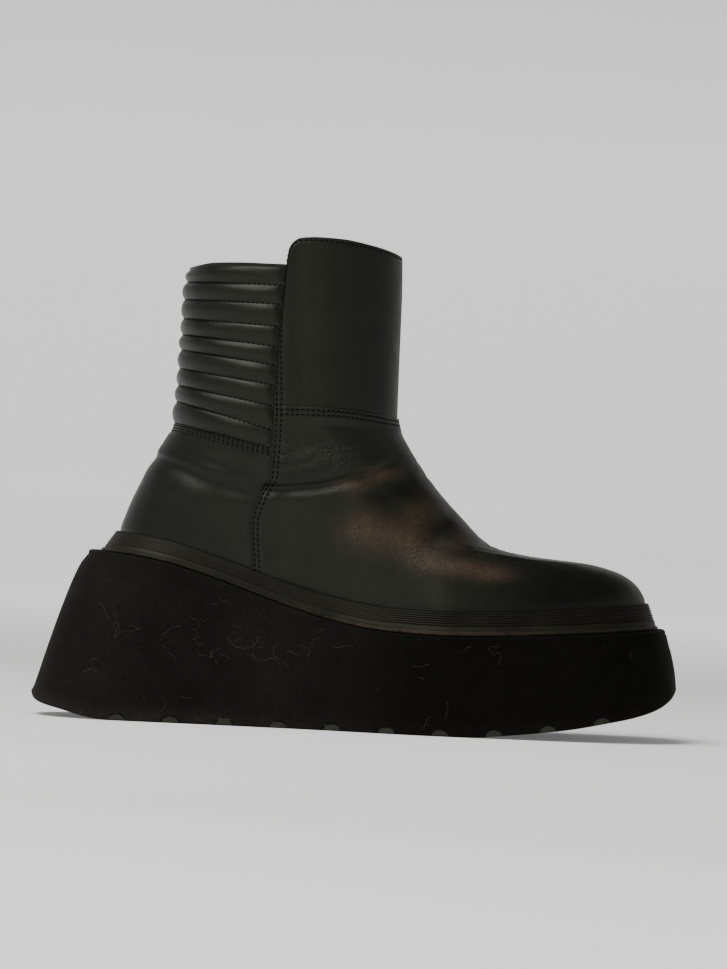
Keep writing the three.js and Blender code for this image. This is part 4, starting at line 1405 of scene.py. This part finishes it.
def bevelled_copy(node, name, material, width):
    """A copy of a CAD node with its doubles merged and its edges rounded."""
    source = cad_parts[node]
    mesh = source.data.copy()
    mesh.materials.clear()
    mesh.materials.append(material)
    piece = into_scene(name, mesh)
    work = bmesh.new()
    work.from_mesh(mesh)
    bmesh.ops.remove_doubles(work, verts=work.verts, dist=1e-5)
    bmesh.ops.dissolve_limit(work, angle_limit=math.radians(1), verts=work.verts, edges=work.edges)
    work.to_mesh(mesh)
    work.free()
    mesh.shade_smooth()
    bevel = piece.modifiers.new("rounded edges", "BEVEL")
    bevel.width = width * MM
    bevel.segments = 3
    bevel.limit_method = "ANGLE"
    bevel.angle_limit = math.radians(28)
    bevel.harden_normals = True
    return piece


# ---------------------------------------------------------------- lint on the platform
# where fibres cling to the outside of the platform: x, height above the underside, spread, how many
LINT_SPOTS = (
    (40, 42, 8, 7), (76, 44, 7, 6), (84, 33, 6, 5), (104, 38, 10, 8), (116, 30, 8, 7), (64, 12, 9, 3),
    (60, 33, 6, 2), (134, 44, 6, 3), (90, 58, 4, 2), (196, 12, 10, 2), (182, 30, 14, 2), (210, 40, 9, 3),
    (286, 30, 5, 1), (30, 24, 8, 2),
)
FIBRE_STEP, FIBRE_RADIUS = 0.62, 0.026


def fibre(draw, x0, up0, spread, side):
    """Points of one curled fibre on the wall, near x0 and so high over the underside."""
    x = x0 + draw.normal() * spread * 0.6
    up = up0 + draw.normal() * spread * 0.45
    heading = draw.uniform(0, 2 * math.pi)
    curl = draw.normal() * 0.07
    points = []
    for _ in range(int(draw.uniform(5, 20))):
        x = float(np.clip(x, 12, 292))
        span = float(bed(x) - underside(x))
        share = float(np.clip(up / span, 0.06, 0.9))
        half = float(half_width(wall_row(share), np.array([x]), np.array([side]))[0])
        points.append((x, float(swing(x)) + side * (half + 0.12), float(underside(x)) + share * span))
        heading += curl + draw.normal() * 0.28
        x += FIBRE_STEP * math.cos(heading)
        up += FIBRE_STEP * math.sin(heading)
    return points


def make_lint():
    """Short curled fibres that cling to the wall of the platform."""
    draw = np.random.default_rng(7)
    curve = bpy.data.curves.new("lint_lines", "CURVE")
    curve.dimensions = "3D"
    curve.bevel_depth = FIBRE_RADIUS * MM
    curve.bevel_resolution = 0
    curve.use_fill_caps = True
    for x0, up0, spread, count in LINT_SPOTS:
        for side, fibres in ((-1.0, count), (1.0, count // 2)):
            for _ in range(fibres):
                points = fibre(draw, x0, up0, spread, side)
                spline = curve.splines.new("POLY")
                spline.points.add(len(points) - 1)
                for target, point in zip(spline.points, place(points)):
                    target.co = (*point, 1)
    lines = into_scene("lint_lines", curve)
    mesh = plain_mesh(lines)
    bpy.data.objects.remove(lines)
    mesh.materials.clear()
    mesh.materials.append(LINT)
    return into_scene("lint", mesh)


# ---------------------------------------------------------------- the boot
def wear(piece, slot, *nodes, body="boot"):
    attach(piece, body)
    if nodes:
        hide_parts(*nodes)
    return piece


wear(make_platform(), "platform_rubber", "outsole")
wear(make_welt(), "welt_rubber", "welt")
wear(make_insole(), "insole_cloth", "insole")
wear(make_quarter(), "leather", "upper")
wear(make_vamp(), "leather", "upper")
wear(make_shaft_front(), "leather", "upper")
quilt = wear(make_quilt(), "leather", "upper")
for lining in make_lining():
    wear(lining, "lining_leather", "upper")
wear(make_zip_tape(), "zip_tape_cloth", "zip_tape")
wear(make_teeth(), "zip_teeth")
wear(bevelled_copy("zip_slider", "slider", METAL, 0.3), "zip_metal", "zip_slider")
wear(bevelled_copy("zip_pull", "pull_tab", METAL, 0.3), "zip_metal", "zip_pull", body="pull")
wear(stamp_along("stitches", stitch_rows, STITCH, THREAD), "thread")
wear(make_lint(), "platform_rubber")
